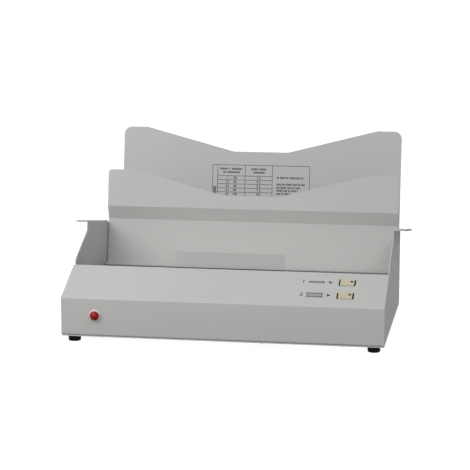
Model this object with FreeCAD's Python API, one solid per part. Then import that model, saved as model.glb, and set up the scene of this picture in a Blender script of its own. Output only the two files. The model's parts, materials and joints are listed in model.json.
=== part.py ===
import FreeCAD, Part
import math
import os

# Thermal cover binding machine: folded sheet casing, heated trough, leaning backrest and cooling rack.
# Millimetres. X runs to the right, Y back from the front face, Z up from the casing's bottom edge.
# At the end every piece moves so that the origin lies on the table under the middle of the machine.

Vector = FreeCAD.Vector
ORIGIN = Vector(0, 0, 0)
RIGHTWARD = Vector(1, 0, 0)
REARWARD = Vector(0, 1, 0)
UPWARD = Vector(0, 0, 1)

# Casing
BODY_WIDTH = 380.0
BODY_DEPTH = 252.0
GAUGE = 1.2
BEND_RADIUS = 1.0
SHELL_FLANGE = 12.0
SHEET_GAP = 0.3
BASE_CORNER = 2.0

# Console: front face, slope and rear wall
FRONT_HEIGHT = 46.0
SLOPE_RUN = 65.0
SLOPE_RISE = 28.6
CONSOLE_FOOT = 10.0

# Trough floor
DECK_HEIGHT = 46.0
DECK_TUCK = 12.5
DECK_FLANGE = 12.0

# Lean of the backrest, the rack and the side plates' top flanges
HOLDER_TILT = math.radians(9.0)

# Side plates
EAR_SET_BACK = 3.0
EAR_STEP = 5.9
EAR_STEP_RUN = 1.75
EAR_SLANT = math.radians(22.3)
EAR_TOP_SET_BACK = 66.0
EAR_TOP_RISE = 40.9
EAR_THROAT = 2.5
EAR_CURVE = 9.0
EAR_NOSE_RADIUS = 2.0
EAR_CROWN_RADIUS = 1.0
EAR_FLANGE = 15.0
EAR_FLANGE_CORNER = 4.0

# Front stop
STOP_GAP = 1.5
STOP_WIDTH = 132.0
STOP_RISE = 18.7
STOP_CORNER = 3.0
STOP_FOOT = 11.0

# Backrest sheet
BACKREST_SET_BACK = 21.0
BACKREST_FOOT = 19.0
BACKREST_SIDE_GAP = 0.8
LOWER_WALL = 57.0
JOGGLE_RUN = 16.0
JOGGLE_DEPTH = 8.0
UPPER_WALL = 47.5
BACKREST_CORNER = 4.5

# Cooling rack sheet
RACK_WIDTH = 370.0
RACK_FLANGE = 22.0
SHELF_ABOVE_DECK = 10.0
SHELF_DEPTH = 47.8
RACK_WALL = 166.8
RACK_CORNER = 10.0

# Wide V in the top edge of both sheets
V_FLOOR = 72.0
V_RUN = 117.0
V_DEPTH = 30.5
V_ROUND = 8.0

# Rear panel
REAR_HEIGHT = 93.0
VENT_COUNT = 12
VENT_PITCH = 11.0
VENT_WIDTH = 3.0
VENT_LENGTH = 18.0
VENT_FROM_RIGHT = 24.0
VENT_LEVEL = 19.0

# Air slots in the base plate
BASE_VENT_COUNT = 14
BASE_VENT_PITCH = 16.0
BASE_VENT_LENGTH = 36.0
BASE_VENT_ROWS = 2
BASE_VENT_ROW_PITCH = 60.0

# Heater under the trough
PLATEN_MARGIN = 18.5
PLATEN_FRONT_GAP = 11.5
PLATEN_REAR_GAP = 9.0
PLATEN_THICK = 6.0
PLATEN_RIM = 5.0
PLATEN_CORNER = 6.0
PLATEN_CLEARANCE = 0.4
HEATER_END_GAP = 26.0
MAT_THICK = 1.6
MAT_INSET = 5.0
PAD_INSET = 1.5
PAD_THICK = 7.0
TRAY_END_GAP = 9.0
TRAY_STUDS = 3
STUD_RADIUS = 2.0
STUD_LENGTH = 8.0
NUT_THICK = 3.0
NUT_RADIUS = 3.8
THERMOSTAT_RADIUS = 8.0
THERMOSTAT_HEIGHT = 7.0
THERMOSTAT_FLANGE = 24.0
THERMOSTAT_FLANGE_THICK = 1.0
FUSE_RADIUS = 2.0
FUSE_LENGTH = 11.0
FUSE_LEAD_RADIUS = 0.5
FUSE_LEAD = 9.0

# Keys on the slope
KEY_WIDTH = 16.4
KEY_SIDE_GAP = 1.8
KEY_LENGTH = 12.5
KEY_PROUD = 1.0
KEY_CLEARANCE = 0.35
KEY_SKIRT = 1.0
KEY_SKIRT_THICK = 1.0
KEY_WALL = 1.2
KEY_CORNER = 1.0
KEY_EDGE = 0.4
KEY_FROM_RIGHT = 47.2
UPPER_KEY_ALONG = 49.0
LOWER_KEY_ALONG = 22.4
KEY_STEM = 4.0
KEY_STEM_ENTRY = 1.5
KEY_LENS_RADIUS = 1.35
KEY_LENS_SIDE = 5.2
KEY_LENS_UP = 1.1
KEY_LENS_PROUD = 0.15
KEY_LENS_LENGTH = 2.2
LENS_CLEARANCE = 0.05

# Control board under the slope
BOARD_DROP = 12.5
BOARD_THICK = 1.6
BOARD_WIDTH = 104.0
BOARD_START = 7.0
BOARD_LENGTH = 50.0
BOARD_FROM_RIGHT = 8.0
STANDOFF_RADIUS = 3.0
STANDOFF_INSET = 4.5
STANDOFF_FROM_REAR = 11.0
SWITCH_SIDE = 12.0
SWITCH_HEIGHT = 5.5
SWITCH_WELL = 4.0
SWITCH_WELL_GAP = 0.3
RELAY_SIZE = (19.0, 15.5, 15.0)
RELAY_FROM_LEFT = 30.0
UNDER_BOARD_ALONG = 20.0
BUZZER_RADIUS = 6.0
BUZZER_HEIGHT = 9.0
BUZZER_FROM_LEFT = 62.0
CONNECTOR_SIZE = (12.0, 6.0, 8.5)
CONNECTOR_FROM_LEFT = (9.0, 88.0)

# Pilot lamp on the front face
LAMP_FROM_LEFT = 40.6
LAMP_HEIGHT = 25.5
LAMP_BEZEL_RADIUS = 7.0
LAMP_BEZEL_THICK = 1.8
LAMP_BARREL_RADIUS = 4.9
LAMP_BARREL_LENGTH = 22.0
LAMP_HOLE_CLEARANCE = 0.1
LAMP_LENS_RADIUS = 5.65
LAMP_LENS_STEP = 0.9
LAMP_LENS_TIP_RADIUS = 3.0
LAMP_LENS_PROUD = 4.6
LAMP_LENS_FACETS = 12
LAMP_SPIGOT_RADIUS = 3.8
LAMP_SPIGOT = 3.0
LAMP_NUT_FLATS = 13.0
LAMP_NUT_THICK = 3.0

# Mains inlet and power switch on the rear panel
INLET_FROM_LEFT = 50.0
REAR_FITTING_GAP = 0.75
INLET_FLANGE_WIDTH = 48.0
INLET_FLANGE_HEIGHT = 22.5
INLET_FLANGE_THICK = 2.5
INLET_WIDTH = 27.0
INLET_HEIGHT = 19.6
INLET_WALL = 1.5
INLET_CAVITY = 15.0
INLET_FLOOR = 2.5
INLET_CORNER = 3.0
INLET_HOLE_PITCH = 40.0
FITTING_CLEARANCE = 0.3
PIN_SPREAD = 7.0
PIN_RISE = 2.0
PIN_WIDTH = 2.0
PIN_HEIGHT = 4.0
PIN_REACH = 12.0
PIN_TAB = 8.0
PIN_CLEARANCE = 0.05
SWITCH_FROM_INLET = 48.0
SWITCH_BEZEL_WIDTH = 15.0
SWITCH_BEZEL_HEIGHT = 21.0
SWITCH_BEZEL_THICK = 2.0
SWITCH_BODY_WIDTH = 13.0
SWITCH_BODY_HEIGHT = 19.0
SWITCH_BODY_DEPTH = 15.0
SWITCH_TERMINAL = (4.8, 0.8, 7.0)
SWITCH_TERMINAL_OFFSET = 4.75
ROCKER_WIDTH = 10.0
ROCKER_HEIGHT = 13.2
ROCKER_RISE = 4.2
ROCKER_DISH = 1.0
ROCKER_BACK = 2.5
ROCKER_WAIST = 2.2
ROCKER_AXLE_DEPTH = 2.0
ROCKER_AXLE_RADIUS = 1.2
ROCKER_AXLE_FIT = 0.06
ROCKER_AXLE_LENGTH = 0.7
ROCKER_AXLE_END_GAP = 0.2
ROCKER_LEAN = 10.0
ROCKER_CLEARANCE = 0.4
ROCKER_WELL = 7.4

# Transformer in the console
TRANSFORMER_FROM_LEFT = 95.0
CORE_WIDTH = 42.0
CORE_STACK = 16.0
CORE_HEIGHT = 35.0
CORE_LIMB = 14.0
COIL_THICK = 6.5
COIL_LENGTH = 20.0
COIL_GAP = 0.2
FRAME_FOOT = 9.0
FRAME_GAP = 0.4
TRANSFORMER_FROM_FRONT = 32.0

# Earth stud on the base plate
EARTH_FROM_LEFT = 24.0
EARTH_FROM_REAR = 32.0
EARTH_LENGTH = 12.0

# Feet
FOOT_HEIGHT = 7.2
FOOT_TOP_RADIUS = 8.0
FOOT_BOTTOM_RADIUS = 6.8
FOOT_INSET = 14.0
FOOT_SIDE_INSET = 12.6
FOOT_WELL_RADIUS = 4.0
FOOT_WELL = 4.0
WASHER_RADIUS = 8.6
WASHER_THICK = 0.8

# Screws
SCREW_RADIUS = 1.45
SCREW_HEAD_RADIUS = 2.8
SCREW_HEAD = 1.7
SCREW_CLEARANCE = 0.05
SCREW_TIP = 2.0
FOOT_SCREW_RADIUS = 1.95
FOOT_SCREW_HEAD_RADIUS = 3.5
FOOT_SCREW_HEAD = 2.2
FOOT_SCREW_TIP = 5.0
BASE_SCREWS_FRONT = 4
BASE_SCREWS_SIDE = 3
RACK_SCREWS = 4
BACKREST_SCREWS = 4
CONSOLE_SCREWS = 3
STOP_SCREW_SPREAD = 45.0
FRONT_SCREW_INSET = 48.0
SIDE_SCREW_INSET = 30.0
CONSOLE_SCREW_INSET = 24.0
RACK_SCREW_INSET = 24.0
BACKREST_SCREW_INSET = 36.0

# Worked out from the driving sizes
HALF_WIDTH = BODY_WIDTH / 2
INNER_HALF = HALF_WIDTH - GAUGE
SLOPE_ANGLE = math.atan2(SLOPE_RISE, SLOPE_RUN)
CONSOLE_TOP = FRONT_HEIGHT + SLOPE_RISE
DECK_UNDERSIDE = DECK_HEIGHT - GAUGE
DECK_FRONT = SLOPE_RUN - DECK_TUCK
REAR_INNER = BODY_DEPTH - GAUGE
DECK_REAR = REAR_INNER - SHEET_GAP
LEAN_Y = math.sin(HOLDER_TILT)
LEAN_Z = math.cos(HOLDER_TILT)
BACKREST_Y = BODY_DEPTH - BACKREST_SET_BACK
BACKREST_HALF = INNER_HALF - BACKREST_SIDE_GAP
BACKREST_LENGTH = LOWER_WALL + JOGGLE_RUN + UPPER_WALL
STOP_Y = SLOPE_RUN + STOP_GAP
PLATEN_FRONT = STOP_Y + GAUGE + STOP_FOOT + PLATEN_FRONT_GAP
PLATEN_REAR = BACKREST_Y - BACKREST_FOOT - PLATEN_REAR_GAP
PLATEN_HALF = INNER_HALF - PLATEN_MARGIN
PLATEN_FLOOR = DECK_HEIGHT - PLATEN_THICK
TRAY_FLOOR = PLATEN_FLOOR - MAT_THICK - PAD_THICK
TRAY_HALF = PLATEN_HALF - HEATER_END_GAP
TRAY_STUD_OFFSET = GAUGE + BEND_RADIUS + NUT_RADIUS + SHEET_GAP
TRAY_FLANGE = TRAY_STUD_OFFSET + NUT_RADIUS
KEY_X = HALF_WIDTH - KEY_FROM_RIGHT
BOARD_RIGHT = INNER_HALF - BOARD_FROM_RIGHT
BOARD_LEFT = BOARD_RIGHT - BOARD_WIDTH
LAMP_X = LAMP_FROM_LEFT - HALF_WIDTH
LAMP_PROUD = LAMP_BEZEL_THICK + LAMP_LENS_PROUD
INLET_X = INLET_FROM_LEFT - HALF_WIDTH
SWITCH_X = INLET_X + SWITCH_FROM_INLET
SHELF_HEIGHT = DECK_HEIGHT + SHELF_ABOVE_DECK
REAR_FITTING_HEIGHT = SHELF_HEIGHT - RACK_FLANGE - REAR_FITTING_GAP - INLET_FLANGE_HEIGHT / 2
RACK_FOOT_Y = BODY_DEPTH + SHELF_DEPTH * LEAN_Z
RACK_FOOT_Z = SHELF_HEIGHT - SHELF_DEPTH * LEAN_Y
RACK_SCREW_LEVEL = DECK_HEIGHT - DECK_FLANGE / 2
REARMOST = RACK_FOOT_Y + RACK_WALL * LEAN_Y + GAUGE * LEAN_Z
TABLE_DROP = FOOT_HEIGHT + WASHER_THICK
DRILL_REACH = INLET_FLANGE_THICK + GAUGE * 2
TO_TABLE = Vector(0, (LAMP_PROUD - REARMOST) / 2, TABLE_DROP)

# Cosine above which an edge counts as running along a direction
ALONG = 0.9

pieces = {}


# Plane geometry of bent strips and rounded outlines

def unit(start, end):
    """Direction from one plane point to another."""
    length = math.dist(start, end)
    return ((end[0] - start[0]) / length, (end[1] - start[1]) / length)


def left_of(direction):
    """The direction turned a quarter turn to the left."""
    return (-direction[1], direction[0])


def moved(point, direction, distance):
    """The point carried along a direction."""
    return (point[0] + direction[0] * distance, point[1] + direction[1] * distance)


def bend_points(before, corner, after, radius, shift=0.0):
    """Start, middle and end of the arc that rounds a corner, on the line shifted to the left of travel."""
    if not radius:
        return corner, corner, corner
    into = unit(before, corner)
    out = unit(corner, after)
    turn = math.atan2(into[0] * out[1] - into[1] * out[0], into[0] * out[0] + into[1] * out[1])
    reach = radius * math.tan(abs(turn) / 2)
    start = moved(corner, into, -reach)
    centre = moved(start, left_of(into), math.copysign(radius, turn))
    middle = moved(centre, unit(centre, corner), radius - math.copysign(shift, turn * shift))
    end = moved(corner, out, reach)
    return moved(start, left_of(into), shift), middle, moved(end, left_of(out), shift)


def mitred(path, shift):
    """Parallel copy of an open path, moved to the left of its travel, with mitred corners."""
    runs = [unit(start, end) for start, end in zip(path, path[1:])]
    copy = []
    for point, into, out in zip(path, [runs[0]] + runs, runs + [runs[-1]]):
        share = 1 + into[0] * out[0] + into[1] * out[1]
        side = (left_of(into)[0] + left_of(out)[0], left_of(into)[1] + left_of(out)[1])
        copy.append(moved(point, side, shift / share))
    return copy


def strip_side(path, radius, shift, spot):
    """Edges along one face of a bent strip."""
    edges = []
    start = moved(path[0], left_of(unit(path[0], path[1])), shift)
    for before, corner, after in zip(path, path[1:], path[2:]):
        first, middle, last = bend_points(before, corner, after, radius, shift)
        edges.append(Part.LineSegment(spot(*start), spot(*first)).toShape())
        edges.append(Part.Arc(spot(*first), spot(*middle), spot(*last)).toShape())
        start = last
    end = moved(path[-1], left_of(unit(path[-2], path[-1])), shift)
    edges.append(Part.LineSegment(spot(*start), spot(*end)).toShape())
    return edges


def folded_sheet(path, left, right):
    """Bent sheet between two X positions. The path is one face in (y, z), and the metal lies to its right."""
    def spot(y, z):
        return Vector(left, y, z)

    spine = mitred(path, -GAUGE / 2)
    bend = BEND_RADIUS + GAUGE / 2
    outer = strip_side(spine, bend, GAUGE / 2, spot)
    inner = strip_side(spine, bend, -GAUGE / 2, spot)
    first_cap = Part.LineSegment(outer[0].firstVertex().Point, inner[0].firstVertex().Point).toShape()
    last_cap = Part.LineSegment(outer[-1].lastVertex().Point, inner[-1].lastVertex().Point).toShape()
    outline = Part.Wire(Part.__sortEdges__(outer + inner + [first_cap, last_cap]))
    return Part.Face(outline).extrude(RIGHTWARD * (right - left))


def rounded_face(corners, spot):
    """Flat face with a closed outline of (a, b, radius) corners."""
    edges = []
    spans = []
    for index, (a, b, radius) in enumerate(corners):
        before = corners[index - 1][:2]
        after = corners[(index + 1) % len(corners)][:2]
        first, middle, last = bend_points(before, (a, b), after, radius)
        spans.append((first, last))
        if radius:
            edges.append(Part.Arc(spot(*first), spot(*middle), spot(*last)).toShape())
    for index, (first, last) in enumerate(spans):
        edges.append(Part.LineSegment(spot(*spans[index - 1][1]), spot(*first)).toShape())
    return Part.Face(Part.Wire(Part.__sortEdges__(edges)))


def rectangle(width, height, radius, centre=(0.0, 0.0)):
    """Corners of a rounded rectangle about a centre."""
    signs = ((-1, -1), (1, -1), (1, 1), (-1, 1))
    return [(centre[0] + a * width / 2, centre[1] + b * height / 2, radius) for a, b in signs]


# Simple solids

def block(x, y, z):
    """Box between pairs of X, Y and Z limits."""
    return Part.makeBox(x[1] - x[0], y[1] - y[0], z[1] - z[0], Vector(x[0], y[0], z[0]))


def rod(radius, start, direction, length):
    """Cylinder from a point along a direction."""
    return Part.makeCylinder(radius, length, start, direction)


def plate_z(corners, low, high):
    """Rounded outline in (x, y), between two heights."""
    return rounded_face(corners, lambda x, y: Vector(x, y, low)).extrude(UPWARD * (high - low))


def plate_y(corners, front, rear):
    """Rounded outline in (x, z), between two depths."""
    return rounded_face(corners, lambda x, z: Vector(x, front, z)).extrude(REARWARD * (rear - front))


def spread(count, reach):
    """Evenly spaced places from -reach to reach."""
    return [reach * (2 * index / (count - 1) - 1) for index in range(count)]


def fastener(seat, direction, grip, radius=SCREW_RADIUS, head_radius=SCREW_HEAD_RADIUS, head=SCREW_HEAD):
    """Pan-head screw: its head stands on the seat and its shank runs along the direction."""
    shank = rod(radius, seat, direction, grip)
    cap = rod(head_radius, seat - direction * head, direction, head)
    return cap.fuse(shank).removeSplitter()


def drilled(shape, seats, direction, radius=SCREW_RADIUS + SCREW_CLEARANCE):
    """The shape with a through hole at each seat."""
    reach = direction * DRILL_REACH
    return shape.cut([rod(radius, seat - reach, direction, reach.Length * 2) for seat in seats])


def hexagon(radius, centre, direction, length):
    """Six-sided bar, radius to its corners."""
    bar = Part.Face(Part.makePolygon([
        Vector(radius * math.cos(math.pi * step / 3), radius * math.sin(math.pi * step / 3), 0)
        for step in range(7)])).extrude(UPWARD * length)
    bar.Placement = FreeCAD.Placement(centre, FreeCAD.Rotation(UPWARD, direction))
    return bar


def rounded_along(shape, radius, chosen):
    """The shape with fillets on the edges that the test picks by their middle point and direction."""
    edges = []
    for edge in shape.Edges:
        middle = edge.valueAt((edge.FirstParameter + edge.LastParameter) / 2)
        ends = edge.lastVertex().Point - edge.firstVertex().Point
        if ends.Length and chosen(middle, ends.normalize()):
            edges.append(edge)
    return shape.makeFillet(radius, edges)


def on_slope(shape):
    """A piece drawn with X across, Y up the slope and Z out of it, carried to the console."""
    shape.rotate(ORIGIN, RIGHTWARD, math.degrees(SLOPE_ANGLE))
    shape.translate(Vector(0, 0, FRONT_HEIGHT))
    return shape


def leaned(along, behind=0.0):
    """Offset in (y, z) for a distance up a leaning sheet and a distance behind its face."""
    return (along * LEAN_Y + behind * LEAN_Z, along * LEAN_Z - behind * LEAN_Y)


def from_foot(foot, along, behind=0.0):
    """Point on a leaning sheet, counted from its foot."""
    offset = leaned(along, behind)
    return (foot[0] + offset[0], foot[1] + offset[1])


# Casing

def base_screw_seats():
    """Undersides of the base plate where the casing's flanges are screwed down."""
    flange_middle = GAUGE + (SHELL_FLANGE - GAUGE) / 2
    side_reach = BODY_DEPTH / 2 - SIDE_SCREW_INSET
    seats = []
    for x in spread(BASE_SCREWS_FRONT, HALF_WIDTH - FRONT_SCREW_INSET):
        seats.append(Vector(x, flange_middle, 0))
        seats.append(Vector(x, BODY_DEPTH - flange_middle, 0))
    for y in spread(BASE_SCREWS_SIDE, side_reach):
        seats.append(Vector(flange_middle - HALF_WIDTH, BODY_DEPTH / 2 + y, 0))
        seats.append(Vector(HALF_WIDTH - flange_middle, BODY_DEPTH / 2 + y, 0))
    return seats


def foot_spots():
    """Name and centre of each foot under the base plate."""
    return {
        "front_left_foot": Vector(FOOT_SIDE_INSET - HALF_WIDTH, FOOT_INSET, 0),
        "front_right_foot": Vector(HALF_WIDTH - FOOT_SIDE_INSET, FOOT_INSET, 0),
        "rear_left_foot": Vector(FOOT_SIDE_INSET - HALF_WIDTH, BODY_DEPTH - FOOT_INSET, 0),
        "rear_right_foot": Vector(HALF_WIDTH - FOOT_SIDE_INSET, BODY_DEPTH - FOOT_INSET, 0),
    }


def transformer_seats():
    """Undersides of the base plate where the transformer frame is screwed down."""
    reach = CORE_WIDTH / 2 + FRAME_GAP + GAUGE + FRAME_FOOT / 2
    centre = TRANSFORMER_FROM_LEFT - HALF_WIDTH
    return [Vector(centre + side * reach, TRANSFORMER_FROM_FRONT, 0) for side in (-1, 1)]


def earth_spot():
    """Foot of the earth stud on the base plate."""
    return Vector(EARTH_FROM_LEFT - HALF_WIDTH, BODY_DEPTH - EARTH_FROM_REAR, GAUGE)


def make_base_plate():
    """Flat bottom of the casing with rows of air slots."""
    outline = rectangle(BODY_WIDTH, BODY_DEPTH, BASE_CORNER, (0, BODY_DEPTH / 2))
    plate = plate_z(outline, 0, GAUGE)
    slots = []
    middle = (PLATEN_FRONT + PLATEN_REAR) / 2
    for row in spread(BASE_VENT_ROWS, BASE_VENT_ROW_PITCH / 2):
        for x in spread(BASE_VENT_COUNT, BASE_VENT_PITCH * (BASE_VENT_COUNT - 1) / 2):
            slot = rectangle(VENT_WIDTH, BASE_VENT_LENGTH, 0, (x, middle + row))
            slots.append(plate_z(slot, -GAUGE, GAUGE * 2))
    plate = plate.cut(slots)
    plate = drilled(plate, base_screw_seats() + transformer_seats(), UPWARD)
    return drilled(plate, foot_spots().values(), UPWARD, FOOT_SCREW_RADIUS + SCREW_CLEARANCE)


def console_screw_seats():
    """Deck underside where the console's foot is screwed down."""
    depth = SLOPE_RUN - GAUGE - (CONSOLE_FOOT - GAUGE) / 2
    return [Vector(x, depth, DECK_UNDERSIDE) for x in spread(CONSOLE_SCREWS, INNER_HALF - CONSOLE_SCREW_INSET)]


def key_places():
    """Key name and its distance up the slope."""
    return {"upper": UPPER_KEY_ALONG, "lower": LOWER_KEY_ALONG}


def make_front_cover():
    """Front face, slope, rear wall and foot of the console, with its flange on the base plate."""
    path = [
        (SHELL_FLANGE, GAUGE),
        (0, GAUGE),
        (0, FRONT_HEIGHT),
        (SLOPE_RUN, CONSOLE_TOP),
        (SLOPE_RUN, DECK_HEIGHT),
        (SLOPE_RUN - CONSOLE_FOOT, DECK_HEIGHT),
    ]
    cover = folded_sheet(path, -HALF_WIDTH, HALF_WIDTH).cut([make_ear_web(-1), make_ear_web(1)])
    windows = []
    for along in key_places().values():
        outline = rectangle(KEY_WIDTH + KEY_SIDE_GAP * 2, KEY_LENGTH + KEY_CLEARANCE * 2,
                            KEY_CORNER + KEY_CLEARANCE, (KEY_X, along))
        windows.append(on_slope(plate_z(outline, -GAUGE * 2, GAUGE)))
    hole = rod(LAMP_BARREL_RADIUS + LAMP_HOLE_CLEARANCE, Vector(LAMP_X, -GAUGE, LAMP_HEIGHT), REARWARD, GAUGE * 3)
    cover = cover.cut(windows + [hole])
    cover = drilled(cover, base_screw_seats()[:BASE_SCREWS_FRONT * 2:2], UPWARD)
    return drilled(cover, console_screw_seats(), UPWARD)


def ear_top():
    """Front and rear ends of the side plate's leaning top edge, in (y, z)."""
    crown = (SLOPE_RUN + EAR_TOP_SET_BACK, CONSOLE_TOP + EAR_TOP_RISE)
    drop = (BODY_DEPTH - crown[0]) * math.tan(HOLDER_TILT)
    return crown, (BODY_DEPTH, crown[1] - drop)


def ear_outline():
    """Side plate outline in (y, z): under the console's skin, then the S-curved ear, then the leaning top."""
    slope = SLOPE_RISE / SLOPE_RUN
    skin = GAUGE / math.cos(SLOPE_ANGLE)
    knee = FRONT_HEIGHT + GAUGE * slope - skin
    foot_y = SLOPE_RUN + EAR_SET_BACK
    step_z = CONSOLE_TOP - skin + EAR_STEP
    crown, rear = ear_top()
    throat_y = crown[0] - EAR_THROAT
    throat_z = step_z + (throat_y - foot_y) * math.tan(EAR_SLANT)
    return [
        (GAUGE, GAUGE, 0),
        (GAUGE, knee, 0),
        (SLOPE_RUN - GAUGE, CONSOLE_TOP - skin - GAUGE * slope, 0),
        (SLOPE_RUN, CONSOLE_TOP - skin - GAUGE, 0),
        (foot_y, CONSOLE_TOP - skin - GAUGE, EAR_NOSE_RADIUS),
        (foot_y + EAR_STEP_RUN, step_z, EAR_CURVE),
        (throat_y, throat_z, EAR_CURVE),
        (*crown, EAR_CROWN_RADIUS),
        (*rear, 0),
        (BODY_DEPTH, GAUGE, 0),
    ]


def make_ear_web(side):
    """Upright sheet of one side plate."""
    inner = side * INNER_HALF
    return rounded_face(ear_outline(), lambda y, z: Vector(inner, y, z)).extrude(RIGHTWARD * side * GAUGE)


def make_side_plate(side):
    """Side plate with a flange on the base plate and an outward flange along the leaning top."""
    inner = side * INNER_HALF
    rear_notch = block(sorted((inner, side * HALF_WIDTH)), (REAR_INNER, BODY_DEPTH), (GAUGE, REAR_HEIGHT))
    crown, rear = ear_top()
    run = math.dist(crown, rear)
    reach = GAUGE + EAR_FLANGE
    corners = [(0, 0, 0), (reach, 0, EAR_FLANGE_CORNER), (reach, run, EAR_FLANGE_CORNER), (0, run, 0)]
    flange = plate_z([(side * a, b, radius) for a, b, radius in corners], -GAUGE, 0)
    flange.rotate(ORIGIN, RIGHTWARD, -math.degrees(HOLDER_TILT))
    flange.translate(Vector(inner, *crown))
    foot_x = sorted((inner, side * (HALF_WIDTH - SHELL_FLANGE)))
    foot = block(foot_x, (SHELL_FLANGE + SHEET_GAP, BODY_DEPTH - SHELL_FLANGE - SHEET_GAP), (GAUGE, GAUGE * 2))
    plate = make_ear_web(side).cut(rear_notch).fuse([flange, foot]).removeSplitter()
    seats = [seat for seat in base_screw_seats()[BASE_SCREWS_FRONT * 2:] if seat.x * side > 0]
    plate = drilled(plate, seats, UPWARD)
    foot_screw_seats = [spot for spot in foot_spots().values() if spot.x * side > 0]
    return drilled(plate, foot_screw_seats, UPWARD, FOOT_SCREW_RADIUS + SCREW_CLEARANCE)


def rack_screw_seats():
    """Rear face of the rack's flange where it is screwed through the rear panel to the deck."""
    reach = RACK_WIDTH / 2 - RACK_SCREW_INSET
    return [Vector(x, BODY_DEPTH + GAUGE, RACK_SCREW_LEVEL) for x in spread(RACK_SCREWS, reach)]


def inlet_screw_seats():
    """Rear face of the inlet's flange at its two screws."""
    depth = BODY_DEPTH + INLET_FLANGE_THICK
    return [Vector(INLET_X + side * INLET_HOLE_PITCH / 2, depth, REAR_FITTING_HEIGHT) for side in (-1, 1)]


def make_rear_panel():
    """Rear wall with flanges on the base plate and behind the backrest, air slots and two fitting openings."""
    rest = from_foot((BACKREST_Y, DECK_HEIGHT), (REAR_HEIGHT - DECK_HEIGHT) / LEAN_Z, GAUGE)[0]
    path = [
        (rest + GAUGE, REAR_HEIGHT),
        (BODY_DEPTH, REAR_HEIGHT),
        (BODY_DEPTH, GAUGE),
        (BODY_DEPTH - SHELL_FLANGE, GAUGE),
    ]
    panel = folded_sheet(path, -HALF_WIDTH, HALF_WIDTH)
    for side in (-1, 1):
        edge = sorted((side * INNER_HALF, side * HALF_WIDTH))
        panel = panel.cut(block(edge, (rest, REAR_INNER), (GAUGE, REAR_HEIGHT)))
    openings = [
        plate_y(rectangle(INLET_WIDTH + FITTING_CLEARANCE * 2, INLET_HEIGHT + FITTING_CLEARANCE * 2, INLET_CORNER,
                          (INLET_X, REAR_FITTING_HEIGHT)), REAR_INNER - GAUGE, BODY_DEPTH + GAUGE),
        plate_y(rectangle(SWITCH_BODY_WIDTH + FITTING_CLEARANCE * 2, SWITCH_BODY_HEIGHT + FITTING_CLEARANCE * 2, 0,
                          (SWITCH_X, REAR_FITTING_HEIGHT)), REAR_INNER - GAUGE, BODY_DEPTH + GAUGE),
    ]
    first_vent = HALF_WIDTH - VENT_FROM_RIGHT
    for index in range(VENT_COUNT):
        slot = rectangle(VENT_WIDTH, VENT_LENGTH, 0, (first_vent - index * VENT_PITCH, VENT_LEVEL))
        openings.append(plate_y(slot, REAR_INNER - GAUGE, BODY_DEPTH + GAUGE))
    panel = panel.cut(openings)
    panel = drilled(panel, base_screw_seats()[1:BASE_SCREWS_FRONT * 2:2], UPWARD)
    return drilled(panel, rack_screw_seats() + inlet_screw_seats(), REARWARD)


# Trough and rack

def tray_stud_seats():
    """Deck underside where the heater tray hangs, in front of and behind the platen."""
    front = PLATEN_FRONT - PLATEN_RIM - SHEET_GAP - TRAY_STUD_OFFSET
    rear = PLATEN_REAR + PLATEN_RIM + SHEET_GAP + TRAY_STUD_OFFSET
    reach = TRAY_HALF - TRAY_END_GAP
    return [Vector(x, y, DECK_UNDERSIDE) for x in spread(TRAY_STUDS, reach) for y in (front, rear)]


def backrest_screw_seats():
    """Deck underside at the screws that hold the backrest's foot from below."""
    depth = BACKREST_Y - GAUGE - BEND_RADIUS - SCREW_HEAD_RADIUS - SHEET_GAP
    reach = BACKREST_HALF - BACKREST_SCREW_INSET
    return [Vector(x, depth, DECK_UNDERSIDE) for x in spread(BACKREST_SCREWS, reach)]


def stop_screw_seats():
    """Top of the front stop's foot at its screws."""
    depth = STOP_Y + GAUGE + STOP_FOOT / 2
    return [Vector(side * STOP_SCREW_SPREAD, depth, DECK_HEIGHT + GAUGE) for side in (-1, 1)]


def make_deck_plate():
    """Trough floor with an opening for the heater platen and studs below for the heater tray."""
    path = [
        (DECK_FRONT, DECK_HEIGHT - DECK_FLANGE),
        (DECK_FRONT, DECK_HEIGHT),
        (DECK_REAR, DECK_HEIGHT),
        (DECK_REAR, DECK_HEIGHT - DECK_FLANGE),
    ]
    reach = INNER_HALF - SHEET_GAP
    deck = folded_sheet(path, -reach, reach)
    opening = rectangle((PLATEN_HALF + PLATEN_CLEARANCE) * 2, PLATEN_REAR - PLATEN_FRONT + PLATEN_CLEARANCE * 2,
                        PLATEN_CORNER + PLATEN_CLEARANCE, (0, (PLATEN_FRONT + PLATEN_REAR) / 2))
    deck = deck.cut(plate_z(opening, DECK_UNDERSIDE - GAUGE, DECK_HEIGHT + GAUGE))
    deck = drilled(deck, console_screw_seats() + backrest_screw_seats() + stop_screw_seats(), UPWARD)
    deck = drilled(deck, rack_screw_seats(), REARWARD)
    studs = [rod(STUD_RADIUS, seat, -UPWARD, STUD_LENGTH) for seat in tray_stud_seats()]
    return deck.fuse(studs).removeSplitter()


def make_front_stop():
    """Low tab that keeps covers from sliding forward, on a foot behind it."""
    path = [
        (STOP_Y + GAUGE + STOP_FOOT, DECK_HEIGHT),
        (STOP_Y, DECK_HEIGHT),
        (STOP_Y, CONSOLE_TOP + STOP_RISE),
    ]
    stop = folded_sheet(path, -STOP_WIDTH / 2, STOP_WIDTH / 2)
    top = CONSOLE_TOP + STOP_RISE
    stop = rounded_along(stop, STOP_CORNER, lambda middle, run: abs(run.y) > ALONG and abs(middle.z - top) < GAUGE)
    return drilled(stop, stop_screw_seats(), UPWARD)


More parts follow.
